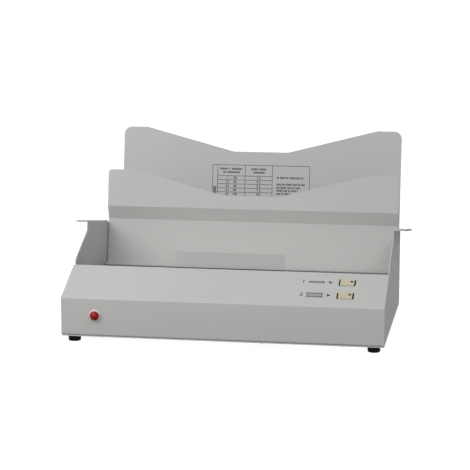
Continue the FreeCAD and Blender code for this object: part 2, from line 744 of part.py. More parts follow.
def v_cutter(foot, length, behind):
    """Wedge that cuts the wide V from the top edge of a leaning sheet."""
    slope = V_DEPTH / V_RUN
    over = V_DEPTH / 2
    half_top = V_FLOOR / 2 + V_RUN + over / slope
    floor = length - V_DEPTH
    corners = [(-V_FLOOR / 2, floor, V_ROUND), (V_FLOOR / 2, floor, V_ROUND), (half_top, length + over, 0),
               (-half_top, length + over, 0)]
    wedge = plate_y(corners, behind - JOGGLE_DEPTH, behind + JOGGLE_DEPTH)
    wedge.rotate(ORIGIN, RIGHTWARD, -math.degrees(HOLDER_TILT))
    wedge.translate(Vector(0, foot[0], foot[1]))
    return wedge


def round_top_corners(sheet, foot, length, radius):
    """The sheet with its two outer top corners rounded."""
    top = from_foot(foot, length)[1]
    half = sheet.BoundBox.XMax
    return rounded_along(sheet, radius, lambda middle, run: (
        abs(run.y) > ALONG and abs(middle.z - top) < JOGGLE_DEPTH and abs(abs(middle.x) - half) < GAUGE))


def make_backrest_sheet():
    """Leaning backrest: foot in the trough, lower wall, joggle band, and upper wall with the wide V."""
    foot = (BACKREST_Y, DECK_HEIGHT)
    path = [
        (BACKREST_Y - BACKREST_FOOT, DECK_HEIGHT + GAUGE),
        from_foot(foot, GAUGE / LEAN_Z),
        from_foot(foot, LOWER_WALL),
        from_foot(foot, LOWER_WALL + JOGGLE_RUN, -JOGGLE_DEPTH),
        from_foot(foot, BACKREST_LENGTH, -JOGGLE_DEPTH),
    ]
    sheet = folded_sheet(path, -BACKREST_HALF, BACKREST_HALF)
    sheet = round_top_corners(sheet, foot, BACKREST_LENGTH, BACKREST_CORNER)
    sheet = sheet.cut(v_cutter(foot, BACKREST_LENGTH, -JOGGLE_DEPTH))
    return drilled(sheet, backrest_screw_seats(), UPWARD)


def make_rack_sheet():
    """Cooling rack: flange on the rear panel, shelf, and tall leaning wall with the wide V."""
    foot = (RACK_FOOT_Y, RACK_FOOT_Z)
    path = [
        (BODY_DEPTH, SHELF_HEIGHT - RACK_FLANGE),
        (BODY_DEPTH, SHELF_HEIGHT),
        foot,
        from_foot(foot, RACK_WALL),
    ]
    sheet = folded_sheet(path, -RACK_WIDTH / 2, RACK_WIDTH / 2)
    sheet = round_top_corners(sheet, foot, RACK_WALL, RACK_CORNER)
    sheet = sheet.cut(v_cutter(foot, RACK_WALL, 0))
    return drilled(sheet, rack_screw_seats(), REARWARD)


# Heater

def make_heater_platen():
    """Aluminium platen: a land that fills the deck's opening and a rim that bears on the deck from below."""
    depth = PLATEN_REAR - PLATEN_FRONT
    centre = (0, (PLATEN_FRONT + PLATEN_REAR) / 2)
    land = plate_z(rectangle(PLATEN_HALF * 2, depth, PLATEN_CORNER, centre), PLATEN_FLOOR, DECK_HEIGHT)
    rim = plate_z(rectangle((PLATEN_HALF + PLATEN_RIM) * 2, depth + PLATEN_RIM * 2, PLATEN_CORNER, centre),
                  PLATEN_FLOOR, DECK_UNDERSIDE)
    return land.fuse(rim).removeSplitter()


def heater_layer(thick, top, inset):
    """Flat layer below the platen, inside the heater tray."""
    low = top - thick
    depth = (PLATEN_FRONT - PLATEN_RIM + inset, PLATEN_REAR + PLATEN_RIM - inset)
    return block((inset - TRAY_HALF, TRAY_HALF - inset), depth, (low, top))


def make_heater_tray():
    """Folded tray that presses the insulation and the heater mat up against the platen."""
    front = PLATEN_FRONT - PLATEN_RIM - SHEET_GAP
    rear = PLATEN_REAR + PLATEN_RIM + SHEET_GAP
    path = [
        (front - TRAY_FLANGE, DECK_UNDERSIDE),
        (front, DECK_UNDERSIDE),
        (front, TRAY_FLOOR),
        (rear, TRAY_FLOOR),
        (rear, DECK_UNDERSIDE),
        (rear + TRAY_FLANGE, DECK_UNDERSIDE),
    ]
    tray = folded_sheet(path, -TRAY_HALF, TRAY_HALF)
    return drilled(tray, tray_stud_seats(), UPWARD, STUD_RADIUS + SCREW_CLEARANCE)


def make_tray_nuts():
    """Nuts under the tray's flanges."""
    nuts = []
    for seat in tray_stud_seats():
        top = seat - UPWARD * GAUGE
        nut = hexagon(NUT_RADIUS, top - UPWARD * NUT_THICK, UPWARD, NUT_THICK)
        nuts.append(nut.cut(rod(STUD_RADIUS + SCREW_CLEARANCE, top - UPWARD * NUT_THICK, UPWARD, NUT_THICK)))
    return Part.makeCompound(nuts)


def make_thermostat():
    """Snap-disc thermostat against the bare end of the platen's underside."""
    spot = Vector((TRAY_HALF + PLATEN_HALF) / 2, (PLATEN_FRONT + PLATEN_REAR) / 2, PLATEN_FLOOR)
    flange = plate_z(rectangle(THERMOSTAT_RADIUS * 2, THERMOSTAT_FLANGE, THERMOSTAT_RADIUS / 2, (spot.x, spot.y)),
                     PLATEN_FLOOR - THERMOSTAT_FLANGE_THICK, PLATEN_FLOOR)
    can = rod(THERMOSTAT_RADIUS, spot, -UPWARD, THERMOSTAT_HEIGHT)
    low = PLATEN_FLOOR - THERMOSTAT_HEIGHT
    blade = SWITCH_TERMINAL
    blades = []
    for side in (-1, 1):
        middle = spot.y + side * THERMOSTAT_RADIUS / 2
        blades.append(block((spot.x - blade[0] / 2, spot.x + blade[0] / 2),
                            (middle - blade[1] / 2, middle + blade[1] / 2), (low - blade[2], low)))
    return flange.fuse([can] + blades).removeSplitter()


def make_thermal_fuse():
    """Axial thermal fuse held against the other bare end of the platen's underside."""
    x = -(TRAY_HALF + PLATEN_HALF) / 2
    y = (PLATEN_FRONT + PLATEN_REAR) / 2
    z = PLATEN_FLOOR - FUSE_RADIUS
    body = rod(FUSE_RADIUS, Vector(x, y - FUSE_LENGTH / 2, z), REARWARD, FUSE_LENGTH)
    wire_length = FUSE_LENGTH + FUSE_LEAD * 2
    wire = rod(FUSE_LEAD_RADIUS, Vector(x, y - wire_length / 2, z), REARWARD, wire_length)
    return body.fuse(wire).removeSplitter()


# Console fittings, drawn in the slope's own frame

def make_key_cap(along):
    """Hollow key cap with a lip behind each long edge of its window, a stem into its switch and a lens hole."""
    centre = (KEY_X, along)
    skirt_top = -GAUGE - KEY_CLEARANCE
    skirt_low = skirt_top - KEY_SKIRT_THICK
    switch_top = SWITCH_HEIGHT - BOARD_DROP
    top = plate_z(rectangle(KEY_WIDTH, KEY_LENGTH, KEY_CORNER, centre), skirt_top, KEY_PROUD)
    top = rounded_along(top, KEY_EDGE, lambda middle, run: abs(middle.z - KEY_PROUD) < KEY_EDGE / 2)
    skirt = plate_z(rectangle(KEY_WIDTH, KEY_LENGTH + KEY_SKIRT * 2, KEY_CORNER, centre), skirt_low, skirt_top)
    hollow = plate_z(rectangle(KEY_WIDTH - KEY_WALL * 2, KEY_LENGTH - KEY_WALL * 2, 0, centre),
                     skirt_low, KEY_PROUD - KEY_WALL)
    stem = plate_z(rectangle(KEY_STEM, KEY_STEM, 0, centre), switch_top - KEY_STEM_ENTRY, KEY_PROUD - KEY_WALL / 2)
    lens_spot = Vector(KEY_X + KEY_LENS_SIDE, along + KEY_LENS_UP, -KEY_WIDTH)
    hole = rod(KEY_LENS_RADIUS + LENS_CLEARANCE, lens_spot, UPWARD, KEY_WIDTH * 2)
    return on_slope(top.fuse(skirt).cut(hollow).fuse(stem).cut(hole).removeSplitter())


def make_key_lens(along):
    """Small dark lens in the right end of a key cap."""
    low = KEY_PROUD + KEY_LENS_PROUD - KEY_LENS_LENGTH
    spot = Vector(KEY_X + KEY_LENS_SIDE, along + KEY_LENS_UP, low)
    return on_slope(rod(KEY_LENS_RADIUS, spot, UPWARD, KEY_LENS_LENGTH))


def make_key_switches():
    """Push switches on the board, each with a square well for its key's stem."""
    switches = []
    for along in key_places().values():
        top = SWITCH_HEIGHT - BOARD_DROP
        case = plate_z(rectangle(SWITCH_SIDE, SWITCH_SIDE, KEY_CORNER, (KEY_X, along)), -BOARD_DROP, top)
        side = KEY_STEM + SWITCH_WELL_GAP * 2
        well = plate_z(rectangle(side, side, 0, (KEY_X, along)), top - SWITCH_WELL, top)
        switches.append(on_slope(case.cut(well)))
    return Part.makeCompound(switches)


def standoff_spots():
    """Places of the board's four standoffs, in the slope's frame."""
    across = (BOARD_LEFT + STANDOFF_INSET, BOARD_RIGHT - STANDOFF_INSET)
    along = (BOARD_START + STANDOFF_INSET, BOARD_START + BOARD_LENGTH - STANDOFF_FROM_REAR)
    return [Vector(x, y, -BOARD_DROP) for x in across for y in along]


def make_control_board():
    """Board parallel to the slope."""
    centre = ((BOARD_LEFT + BOARD_RIGHT) / 2, BOARD_START + BOARD_LENGTH / 2)
    outline = rectangle(BOARD_WIDTH, BOARD_LENGTH, KEY_CORNER, centre)
    board = plate_z(outline, -BOARD_DROP - BOARD_THICK, -BOARD_DROP)
    return on_slope(drilled(board, standoff_spots(), UPWARD))


def make_standoffs():
    """Tapped posts between the slope and the board."""
    posts = []
    for spot in standoff_spots():
        post = hexagon(STANDOFF_RADIUS, spot, UPWARD, BOARD_DROP - GAUGE)
        bore = rod(SCREW_RADIUS + SCREW_CLEARANCE, spot, UPWARD, BOARD_DROP / 2)
        posts.append(on_slope(post.cut(bore)))
    return Part.makeCompound(posts)


def make_board_screws():
    """Screws from under the board into the standoffs."""
    seats = [spot - UPWARD * BOARD_THICK for spot in standoff_spots()]
    return Part.makeCompound([on_slope(fastener(seat, UPWARD, BOARD_DROP / 2)) for seat in seats])


def under_board(size, from_left):
    """Box that hangs under the board."""
    left = BOARD_LEFT + from_left - size[0] / 2
    along = (UNDER_BOARD_ALONG - size[1] / 2, UNDER_BOARD_ALONG + size[1] / 2)
    top = -BOARD_DROP - BOARD_THICK
    return block((left, left + size[0]), along, (top - size[2], top))


def make_buzzer():
    """Round sounder under the board."""
    spot = Vector(BOARD_LEFT + BUZZER_FROM_LEFT, UNDER_BOARD_ALONG, -BOARD_DROP - BOARD_THICK)
    return on_slope(rod(BUZZER_RADIUS, spot, -UPWARD, BUZZER_HEIGHT))


def make_connectors():
    """Wire connectors under the board."""
    return Part.makeCompound([on_slope(under_board(CONNECTOR_SIZE, place)) for place in CONNECTOR_FROM_LEFT])


# Pilot lamp

def lamp_turned(profile):
    """Solid of revolution about the lamp's axis, from (radius, distance behind the front face) points."""
    points = [Vector(LAMP_X + radius, depth, LAMP_HEIGHT) for radius, depth in profile]
    face = Part.Face(Part.makePolygon(points + points[:1]))
    return face.revolve(Vector(LAMP_X, 0, LAMP_HEIGHT), REARWARD, 360)


def make_lamp_body():
    """Pale ring on the front face and the barrel behind it, with a socket for the lens."""
    socket = LAMP_SPIGOT_RADIUS + LAMP_HOLE_CLEARANCE
    edge = LAMP_BEZEL_THICK / 2
    return lamp_turned([
        (socket, -LAMP_BEZEL_THICK), (LAMP_BEZEL_RADIUS - edge, -LAMP_BEZEL_THICK), (LAMP_BEZEL_RADIUS, -edge),
        (LAMP_BEZEL_RADIUS, 0), (LAMP_BARREL_RADIUS, 0), (LAMP_BARREL_RADIUS, LAMP_BARREL_LENGTH),
        (0, LAMP_BARREL_LENGTH), (0, LAMP_SPIGOT), (socket, LAMP_SPIGOT),
    ])


def facet_ring(radius, depth):
    """Twelve-sided outline of the lamp lens at one depth."""
    turn = 2 * math.pi / LAMP_LENS_FACETS
    return Part.makePolygon([
        Vector(LAMP_X + radius * math.cos(turn * step), depth, LAMP_HEIGHT + radius * math.sin(turn * step))
        for step in range(LAMP_LENS_FACETS + 1)])


def make_lamp_lens():
    """Faceted red lens with a spigot in the lamp body."""
    seat = -LAMP_BEZEL_THICK
    shoulder = seat - LAMP_LENS_STEP
    band = Part.makeLoft([facet_ring(LAMP_LENS_RADIUS, seat), facet_ring(LAMP_LENS_RADIUS, shoulder)], True, True)
    crown = Part.makeLoft([facet_ring(LAMP_LENS_RADIUS, shoulder), facet_ring(LAMP_LENS_TIP_RADIUS, -LAMP_PROUD)],
                          True, True)
    spigot = rod(LAMP_SPIGOT_RADIUS, Vector(LAMP_X, seat, LAMP_HEIGHT), REARWARD, LAMP_SPIGOT)
    return band.fuse([crown, spigot]).removeSplitter()


def make_lamp_nut():
    """Nut that holds the lamp behind the front face."""
    spot = Vector(LAMP_X, GAUGE, LAMP_HEIGHT)
    nut = hexagon(LAMP_NUT_FLATS / math.sqrt(3), spot, REARWARD, LAMP_NUT_THICK)
    return nut.cut(rod(LAMP_BARREL_RADIUS + LAMP_HOLE_CLEARANCE, spot, REARWARD, LAMP_NUT_THICK))


# Mains inlet and power switch

def inlet_box(width, height, front, rear, corner=0.0):
    """Rounded box centred on the inlet."""
    return plate_y(rectangle(width, height, corner, (INLET_X, REAR_FITTING_HEIGHT)), front, rear)


def pin_places():
    """X and Z of the three inlet pins."""
    return [(INLET_X - PIN_SPREAD, REAR_FITTING_HEIGHT - PIN_RISE), (INLET_X, REAR_FITTING_HEIGHT + PIN_RISE),
            (INLET_X + PIN_SPREAD, REAR_FITTING_HEIGHT - PIN_RISE)]


def make_power_inlet():
    """Three-pin mains inlet: flange outside the rear panel and a deep socket behind it."""
    mouth = BODY_DEPTH + INLET_FLANGE_THICK
    floor = mouth - INLET_CAVITY
    flange = inlet_box(INLET_FLANGE_WIDTH, INLET_FLANGE_HEIGHT, BODY_DEPTH, mouth, INLET_CORNER)
    case = inlet_box(INLET_WIDTH, INLET_HEIGHT, floor - INLET_FLOOR, BODY_DEPTH, INLET_CORNER)
    cavity = inlet_box(INLET_WIDTH - INLET_WALL * 2, INLET_HEIGHT - INLET_WALL * 2, floor, mouth, INLET_CORNER)
    passages = []
    for x, z in pin_places():
        outline = rectangle(PIN_WIDTH + PIN_CLEARANCE * 2, PIN_HEIGHT + PIN_CLEARANCE * 2, 0, (x, z))
        passages.append(plate_y(outline, floor - INLET_FLOOR, floor))
    inlet = flange.fuse(case).cut([cavity] + passages).removeSplitter()
    return drilled(inlet, inlet_screw_seats(), REARWARD)


def make_inlet_pins():
    """Flat pins that pass through the socket's floor to their tabs."""
    floor = BODY_DEPTH + INLET_FLANGE_THICK - INLET_CAVITY
    pins = []
    for x, z in pin_places():
        outline = rectangle(PIN_WIDTH, PIN_HEIGHT, 0, (x, z))
        pins.append(plate_y(outline, floor - INLET_FLOOR - PIN_TAB, floor + PIN_REACH))
    return Part.makeCompound(pins)


def rocker_axle():
    """Centre of the rocker's axle."""
    return Vector(SWITCH_X, BODY_DEPTH - ROCKER_AXLE_DEPTH, REAR_FITTING_HEIGHT)


def switch_box(width, height, front, rear):
    """Box centred on the power switch."""
    return plate_y(rectangle(width, height, 0, (SWITCH_X, REAR_FITTING_HEIGHT)), front, rear)


def make_power_switch():
    """Switch housing with its bezel, a well for the rocker and two terminals."""
    mouth = BODY_DEPTH + SWITCH_BEZEL_THICK
    back = REAR_INNER - SWITCH_BODY_DEPTH
    bezel = switch_box(SWITCH_BEZEL_WIDTH, SWITCH_BEZEL_HEIGHT, BODY_DEPTH, mouth)
    case = switch_box(SWITCH_BODY_WIDTH, SWITCH_BODY_HEIGHT, back, BODY_DEPTH)
    swing = math.hypot(ROCKER_HEIGHT / 2, ROCKER_RISE)
    half = swing * math.sin(math.atan2(ROCKER_HEIGHT / 2, ROCKER_RISE) + math.radians(ROCKER_LEAN))
    well = switch_box(ROCKER_WIDTH + ROCKER_CLEARANCE, (half + ROCKER_CLEARANCE) * 2, mouth - ROCKER_WELL, mouth)
    bore_length = ROCKER_WIDTH + (ROCKER_AXLE_LENGTH + ROCKER_AXLE_END_GAP) * 2
    bore = rod(ROCKER_AXLE_RADIUS + ROCKER_AXLE_FIT, rocker_axle() - RIGHTWARD * (bore_length / 2), RIGHTWARD,
               bore_length)
    housing = bezel.fuse(case).cut([well, bore])
    blade = SWITCH_TERMINAL
    blades = []
    for side in (-1, 1):
        level = REAR_FITTING_HEIGHT + side * SWITCH_TERMINAL_OFFSET
        blades.append(block((SWITCH_X - blade[0] / 2, SWITCH_X + blade[0] / 2), (back - blade[2], back),
                            (level - blade[1] / 2, level + blade[1] / 2)))
    return housing.fuse(blades).removeSplitter()


def make_power_rocker():
    """Rocker on two stub axles, stored tipped to its off side."""
    axle = rocker_axle()
    half = ROCKER_HEIGHT / 2
    profile = [(ROCKER_RISE, -half), (ROCKER_RISE - ROCKER_DISH, 0), (ROCKER_RISE, half), (0, half),
               (-ROCKER_BACK, ROCKER_WAIST), (-ROCKER_BACK, -ROCKER_WAIST), (0, -half)]
    points = [axle + Vector(-ROCKER_WIDTH / 2, out, up) for out, up in profile]
    rocker = Part.Face(Part.makePolygon(points + points[:1])).extrude(RIGHTWARD * ROCKER_WIDTH)
    length = ROCKER_WIDTH + ROCKER_AXLE_LENGTH * 2
    stubs = rod(ROCKER_AXLE_RADIUS, axle - RIGHTWARD * (length / 2), RIGHTWARD, length)
    rocker = rocker.fuse(stubs).removeSplitter()
    rocker.rotate(axle, RIGHTWARD, -ROCKER_LEAN)
    return rocker


# Transformer and earth

def transformer_place(shape):
    """A transformer piece drawn about its own foot, carried to its place on the base plate."""
    shape.translate(Vector(TRANSFORMER_FROM_LEFT - HALF_WIDTH, TRANSFORMER_FROM_FRONT, GAUGE))
    return shape


def make_transformer_core():
    """Stack of laminations with two windows round the middle limb."""
    depth = (-CORE_STACK / 2, CORE_STACK / 2)
    core = block((-CORE_WIDTH / 2, CORE_WIDTH / 2), depth, (0, CORE_HEIGHT))
    window = COIL_THICK + COIL_GAP * 2
    low = (CORE_HEIGHT - COIL_LENGTH) / 2 - COIL_GAP
    high = (CORE_HEIGHT + COIL_LENGTH) / 2 + COIL_GAP
    left = block((-CORE_LIMB / 2 - window, -CORE_LIMB / 2), depth, (low, high))
    right = block((CORE_LIMB / 2, CORE_LIMB / 2 + window), depth, (low, high))
    return transformer_place(core.cut([left, right]))


def make_transformer_coil():
    """Winding round the middle limb."""
    low = (CORE_HEIGHT - COIL_LENGTH) / 2
    limb = CORE_LIMB / 2 + COIL_GAP
    stack = CORE_STACK / 2 + COIL_GAP
    levels = (low, low + COIL_LENGTH)
    outside = plate_z(rectangle((limb + COIL_THICK) * 2, (stack + COIL_THICK) * 2, COIL_THICK / 2), *levels)
    return transformer_place(outside.cut(block((-limb, limb), (-stack, stack), levels)))


def make_transformer_frame():
    """Strap over the core with two screwed feet."""
    side = CORE_WIDTH / 2 + FRAME_GAP
    top = CORE_HEIGHT + FRAME_GAP
    path = [
        (side + GAUGE + FRAME_FOOT, 0),
        (side, 0),
        (side, top),
        (-side, top),
        (-side, 0),
        (-side - GAUGE - FRAME_FOOT, 0),
    ]
    strap = folded_sheet(path, -CORE_STACK / 2, CORE_STACK / 2)
    strap.rotate(ORIGIN, UPWARD, -90)
    return drilled(transformer_place(strap), transformer_seats(), UPWARD)


def make_earth_nut():
    """Nut on the earth stud."""
    foot = earth_spot()
    nut = hexagon(NUT_RADIUS, foot, UPWARD, NUT_THICK)
    return nut.cut(rod(STUD_RADIUS + SCREW_CLEARANCE, foot, UPWARD, NUT_THICK))


# Feet and screws

def make_foot(spot):
    """Tapered rubber foot with a well for its screw."""
    top = -WASHER_THICK
    low = -TABLE_DROP
    hole = FOOT_SCREW_RADIUS + SCREW_CLEARANCE
    profile = [(hole, top), (FOOT_TOP_RADIUS, top), (FOOT_BOTTOM_RADIUS, low), (FOOT_WELL_RADIUS, low),
               (FOOT_WELL_RADIUS, low + FOOT_WELL), (hole, low + FOOT_WELL)]
    points = [Vector(spot.x + radius, spot.y, z) for radius, z in profile]
    return Part.Face(Part.makePolygon(points + points[:1])).revolve(spot, UPWARD, 360)


def make_foot_washers():
    """Thin washers between the feet and the base plate."""
    rings = []
    for spot in foot_spots().values():
        low = spot - UPWARD * WASHER_THICK
        ring = rod(WASHER_RADIUS, low, UPWARD, WASHER_THICK)
        rings.append(ring.cut(rod(FOOT_SCREW_RADIUS + SCREW_CLEARANCE, low, UPWARD, WASHER_THICK)))
    return Part.makeCompound(rings)


def make_foot_screws():
    """Screws in the feet's wells."""
    rise = FOOT_WELL - TABLE_DROP
    grip = -rise + GAUGE + FOOT_SCREW_TIP
    return Part.makeCompound([
        fastener(spot + UPWARD * rise, UPWARD, grip, FOOT_SCREW_RADIUS, FOOT_SCREW_HEAD_RADIUS, FOOT_SCREW_HEAD)
        for spot in foot_spots().values()])


def screws(seats, direction, grip):
    """One screw at each seat."""
    return Part.makeCompound([fastener(seat, direction, grip) for seat in seats])


# The whole machine
pieces["base_plate"] = make_base_plate()
pieces["front_cover"] = make_front_cover()
pieces["left_side_plate"] = make_side_plate(-1)
pieces["right_side_plate"] = make_side_plate(1)
pieces["rear_panel"] = make_rear_panel()
pieces["deck_plate"] = make_deck_plate()
pieces["front_stop"] = make_front_stop()
pieces["backrest_sheet"] = make_backrest_sheet()
pieces["rack_sheet"] = make_rack_sheet()
pieces["heater_platen"] = make_heater_platen()
pieces["heater_mat"] = heater_layer(MAT_THICK, PLATEN_FLOOR, MAT_INSET)
pieces["insulation_pad"] = heater_layer(PAD_THICK, PLATEN_FLOOR - MAT_THICK, PAD_INSET)
pieces["heater_tray"] = make_heater_tray()
pieces["heater_tray_nuts"] = make_tray_nuts()
pieces["thermostat"] = make_thermostat()
pieces["thermal_fuse"] = make_thermal_fuse()
pieces["control_board"] = make_control_board()
pieces["board_standoffs"] = make_standoffs()
pieces["board_screws"] = make_board_screws()
pieces["key_switches"] = make_key_switches()
for key_name, key_along in key_places().items():
    pieces[key_name + "_key_cap"] = make_key_cap(key_along)
    pieces[key_name + "_key_lens"] = make_key_lens(key_along)
pieces["heater_relay"] = on_slope(under_board(RELAY_SIZE, RELAY_FROM_LEFT))
pieces["buzzer"] = make_buzzer()
pieces["board_connectors"] = make_connectors()
pieces["pilot_lamp_body"] = make_lamp_body()
pieces["pilot_lamp_lens"] = make_lamp_lens()
pieces["pilot_lamp_nut"] = make_lamp_nut()
pieces["power_inlet"] = make_power_inlet()
pieces["inlet_pins"] = make_inlet_pins()
pieces["inlet_screws"] = screws(inlet_screw_seats(), -REARWARD, INLET_FLANGE_THICK + GAUGE + SCREW_TIP)
pieces["power_switch"] = make_power_switch()
pieces["power_rocker"] = make_power_rocker()
pieces["transformer_core"] = make_transformer_core()
pieces["transformer_coil"] = make_transformer_coil()
pieces["transformer_frame"] = make_transformer_frame()
pieces["transformer_screws"] = screws(transformer_seats(), UPWARD, GAUGE * 2 + SCREW_TIP)
pieces["earth_stud"] = rod(STUD_RADIUS, earth_spot(), UPWARD, EARTH_LENGTH)
pieces["earth_nut"] = make_earth_nut()
for foot_name, foot_spot in foot_spots().items():
    pieces[foot_name] = make_foot(foot_spot)
pieces["foot_washers"] = make_foot_washers()
pieces["foot_screws"] = make_foot_screws()
pieces["base_screws"] = screws(base_screw_seats(), UPWARD, GAUGE * 2 + SCREW_TIP)
pieces["rack_screws"] = screws(rack_screw_seats(), -REARWARD, GAUGE * 3 + SHEET_GAP + SCREW_TIP)
pieces["backrest_screws"] = screws(backrest_screw_seats(), UPWARD, GAUGE * 2)
pieces["stop_screws"] = screws(stop_screw_seats(), -UPWARD, GAUGE * 2 + SCREW_TIP)
pieces["console_screws"] = screws(console_screw_seats(), UPWARD, GAUGE * 2 + SCREW_TIP)

os.makedirs("parts", exist_ok=True)
for name, shape in pieces.items():
    shape.translate(TO_TABLE)
    shape.exportStep("parts/" + name + ".step")
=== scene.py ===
import bmesh
import bpy
import json
import math
import numpy as np
from mathutils import Matrix, Vector


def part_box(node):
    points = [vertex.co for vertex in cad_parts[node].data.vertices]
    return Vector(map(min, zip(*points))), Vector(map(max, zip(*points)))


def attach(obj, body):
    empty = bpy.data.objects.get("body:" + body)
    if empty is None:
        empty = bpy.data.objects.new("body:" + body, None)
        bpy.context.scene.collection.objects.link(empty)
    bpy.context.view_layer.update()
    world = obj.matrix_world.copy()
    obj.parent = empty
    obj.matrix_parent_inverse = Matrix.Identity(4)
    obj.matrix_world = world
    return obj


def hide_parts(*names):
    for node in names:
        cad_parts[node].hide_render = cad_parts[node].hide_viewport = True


# Thermal cover binding machine: painted sheet casing, printed guide table, ivory keys and red pilot lamp.
# Metres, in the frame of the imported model: X to the right, Y to the rear, Z up from the table.

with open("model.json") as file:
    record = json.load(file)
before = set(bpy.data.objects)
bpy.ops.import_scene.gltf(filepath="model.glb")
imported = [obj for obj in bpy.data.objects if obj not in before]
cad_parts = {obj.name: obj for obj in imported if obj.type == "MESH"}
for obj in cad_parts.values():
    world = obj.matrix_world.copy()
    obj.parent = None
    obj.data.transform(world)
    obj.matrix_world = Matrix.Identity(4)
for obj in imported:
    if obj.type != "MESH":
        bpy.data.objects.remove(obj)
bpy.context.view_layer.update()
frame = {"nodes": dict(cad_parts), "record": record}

MM = 0.001

nodes = frame["nodes"]
bodies = frame["record"]["behaviour"]["bodies"]
BODY_OF = {node: body for body, members in bodies.items() for node in members}
SLOT_OF = {part["node"]: part["material_slot"] for part in frame["record"]["subparts"]}

# Sheets of the casing
GAUGE = 1.2 * MM
HOLDER_LEAN = math.radians(9.0)
FRONT_FOLD = 44.8 * MM
SLOPE_RUN = 65.0 * MM
SLOPE_RISE = 28.6 * MM


# Shader arithmetic

class Value:
    """A socket of a finish: arithmetic on it adds Math nodes to that finish."""

    def __init__(self, finish, socket):
        self.finish = finish
        self.socket = socket

    def math(self, operation, first, second):
        return self.finish.node("ShaderNodeMath", {"operation": operation}, {0: first, 1: second})

    def __add__(self, other):
        return self.math("ADD", self, other)

    def __sub__(self, other):
        return self.math("SUBTRACT", self, other)

    def __mul__(self, other):
        return self.math("MULTIPLY", self, other)

    def __gt__(self, other):
        return self.math("GREATER_THAN", self, other)

    __radd__ = __add__


# A Mix node's colour sockets share their names with others, so they go by number
MIX_FACTOR = 0
MIX_FIRST = 6
MIX_SECOND = 7
MIX_RESULT = 2

EVEN = (1.0, 1.0, 1.0)


class Finish:
    """One procedural material: its node tree, its shader and the nodes that feed it."""

    def __init__(self, name, colour, sockets=()):
        self.material = bpy.data.materials.new(name)
        self.material.use_nodes = True
        self.tree = self.material.node_tree
        self.shader = self.tree.nodes["Principled BSDF"]
        self.colour = (*colour, 1.0)
        self.set("Base Color", self.colour)
        for socket, value in dict(sockets).items():
            self.set(socket, value)

    def fill(self, socket, value):
        """Links a value to a socket, or writes a plain number or colour on it."""
        if isinstance(value, Value):
            self.tree.links.new(value.socket, socket)
        else:
            socket.default_value = value

    def set(self, name, value):
        self.fill(self.shader.inputs[name], value)

    def node(self, kind, settings=(), sockets=(), output=0):
        """Any node: its settings first, then the values or links of its sockets."""
        node = self.tree.nodes.new(kind)
        for key, value in dict(settings).items():
            setattr(node, key, value)
        for key, value in dict(sockets).items():
            self.fill(node.inputs[key], value)
        return Value(self, node.outputs[output])

    def place(self):
        return self.node("ShaderNodeTexCoord", output="Object")

    def noise(self, scale, detail=2.0, stretch=EVEN):
        """Noise with so many features to the metre, drawn out along the axes with a small stretch factor."""
        spot = self.node("ShaderNodeMapping", {}, {"Vector": self.place(), "Scale": stretch})
        return self.node("ShaderNodeTexNoise", {}, {"Vector": spot, "Scale": scale, "Detail": detail})

    def tinted(self, shade):
        """The finish's colour made lighter or darker by a factor."""
        return self.node("ShaderNodeVectorMath", {"operation": "SCALE"}, {0: self.colour[:3], "Scale": shade})

    def mixed(self, factor, first, second):
        """One colour where the factor is nought, another where it is one."""
        sockets = {MIX_FACTOR: factor, MIX_FIRST: first, MIX_SECOND: second}
        return self.node("ShaderNodeMix", {"data_type": "RGBA"}, sockets, MIX_RESULT)

    def bump(self, height, strength, depth):
        return self.node("ShaderNodeBump", {}, {"Height": height, "Strength": strength, "Distance": depth})


# Grains of the finishes, in features to the metre
ORANGE_PEEL = 950.0
PINHEADS = 4200.0
PAINT_CLOUDS = 11.0
BRUSH_LINES = 2600.0
HANDLING_MARKS = 38.0
ZINC_BLOTCHES = 240.0
ZINC_GRAIN = 3000.0
FLOW_CLOUDS = 60.0
LENS_PAINTED_PATCHES = 300.0
BOARD_TRACKS = 320.0
FELT_THREADS = 900.0
INK_LAY = 1800.0

# How the grains are drawn out, and how deep they are
BRUSH_DRAW = 0.02
FELT_DRAW = (0.25, 1.0, 1.0)
TRACK_EDGE = 0.06
PEEL_DEPTH = 0.04 * MM
METAL_DEPTH = 0.02 * MM
TRACK_DEPTH = 0.03 * MM
FELT_DEPTH = 0.3 * MM

# Colours of the finishes
PAINT_GREY = (0.430, 0.430, 0.420)
ZINC_GREY = (0.66, 0.66, 0.64)
PLATEN_GREY = (0.84, 0.84, 0.83)
PIN_YELLOW = (0.70, 0.64, 0.50)
LENS_RED = (0.22, 0.006, 0.006)
BOARD_GREEN = (0.03, 0.16, 0.07)
TRACK_GREEN = (0.09, 0.30, 0.12, 1.0)
FELT_CREAM = (0.74, 0.72, 0.66)
INK_BLACK = (0.030, 0.030, 0.033)
INK_WHITE = (0.75, 0.75, 0.73)

# Moulded finishes: colour, roughness, sparks to the metre and depth of the sparks
MOULDED = {
    "deck_coat": ((0.060, 0.060, 0.062), 0.60, 1100.0, 0.04 * MM),
    "silicone_mat": ((0.38, 0.10, 0.05), 0.60, 1500.0, 0.05 * MM),
    "thermal_parts": ((0.06, 0.045, 0.035), 0.40, 2200.0, 0.03 * MM),
    "ivory_key": ((0.462, 0.418, 0.296), 0.42, 2600.0, 0.02 * MM),
    "key_lens": ((0.012, 0.010, 0.008), 0.16, 3000.0, 0.005 * MM),
    "black_plastic": ((0.018, 0.018, 0.019), 0.46, 2400.0, 0.04 * MM),
    "white_plastic": ((0.70, 0.69, 0.64), 0.45, 2400.0, 0.03 * MM),
    "lamp_ring": ((0.66, 0.52, 0.48), 0.36, 3000.0, 0.01 * MM),
    "coil_tape": ((0.60, 0.36, 0.05), 0.38, 700.0, 0.05 * MM),
    "foot_rubber": ((0.004, 0.004, 0.004), 0.40, 1800.0, 0.06 * MM),
}
RUBBER_GLOSS = 0.14
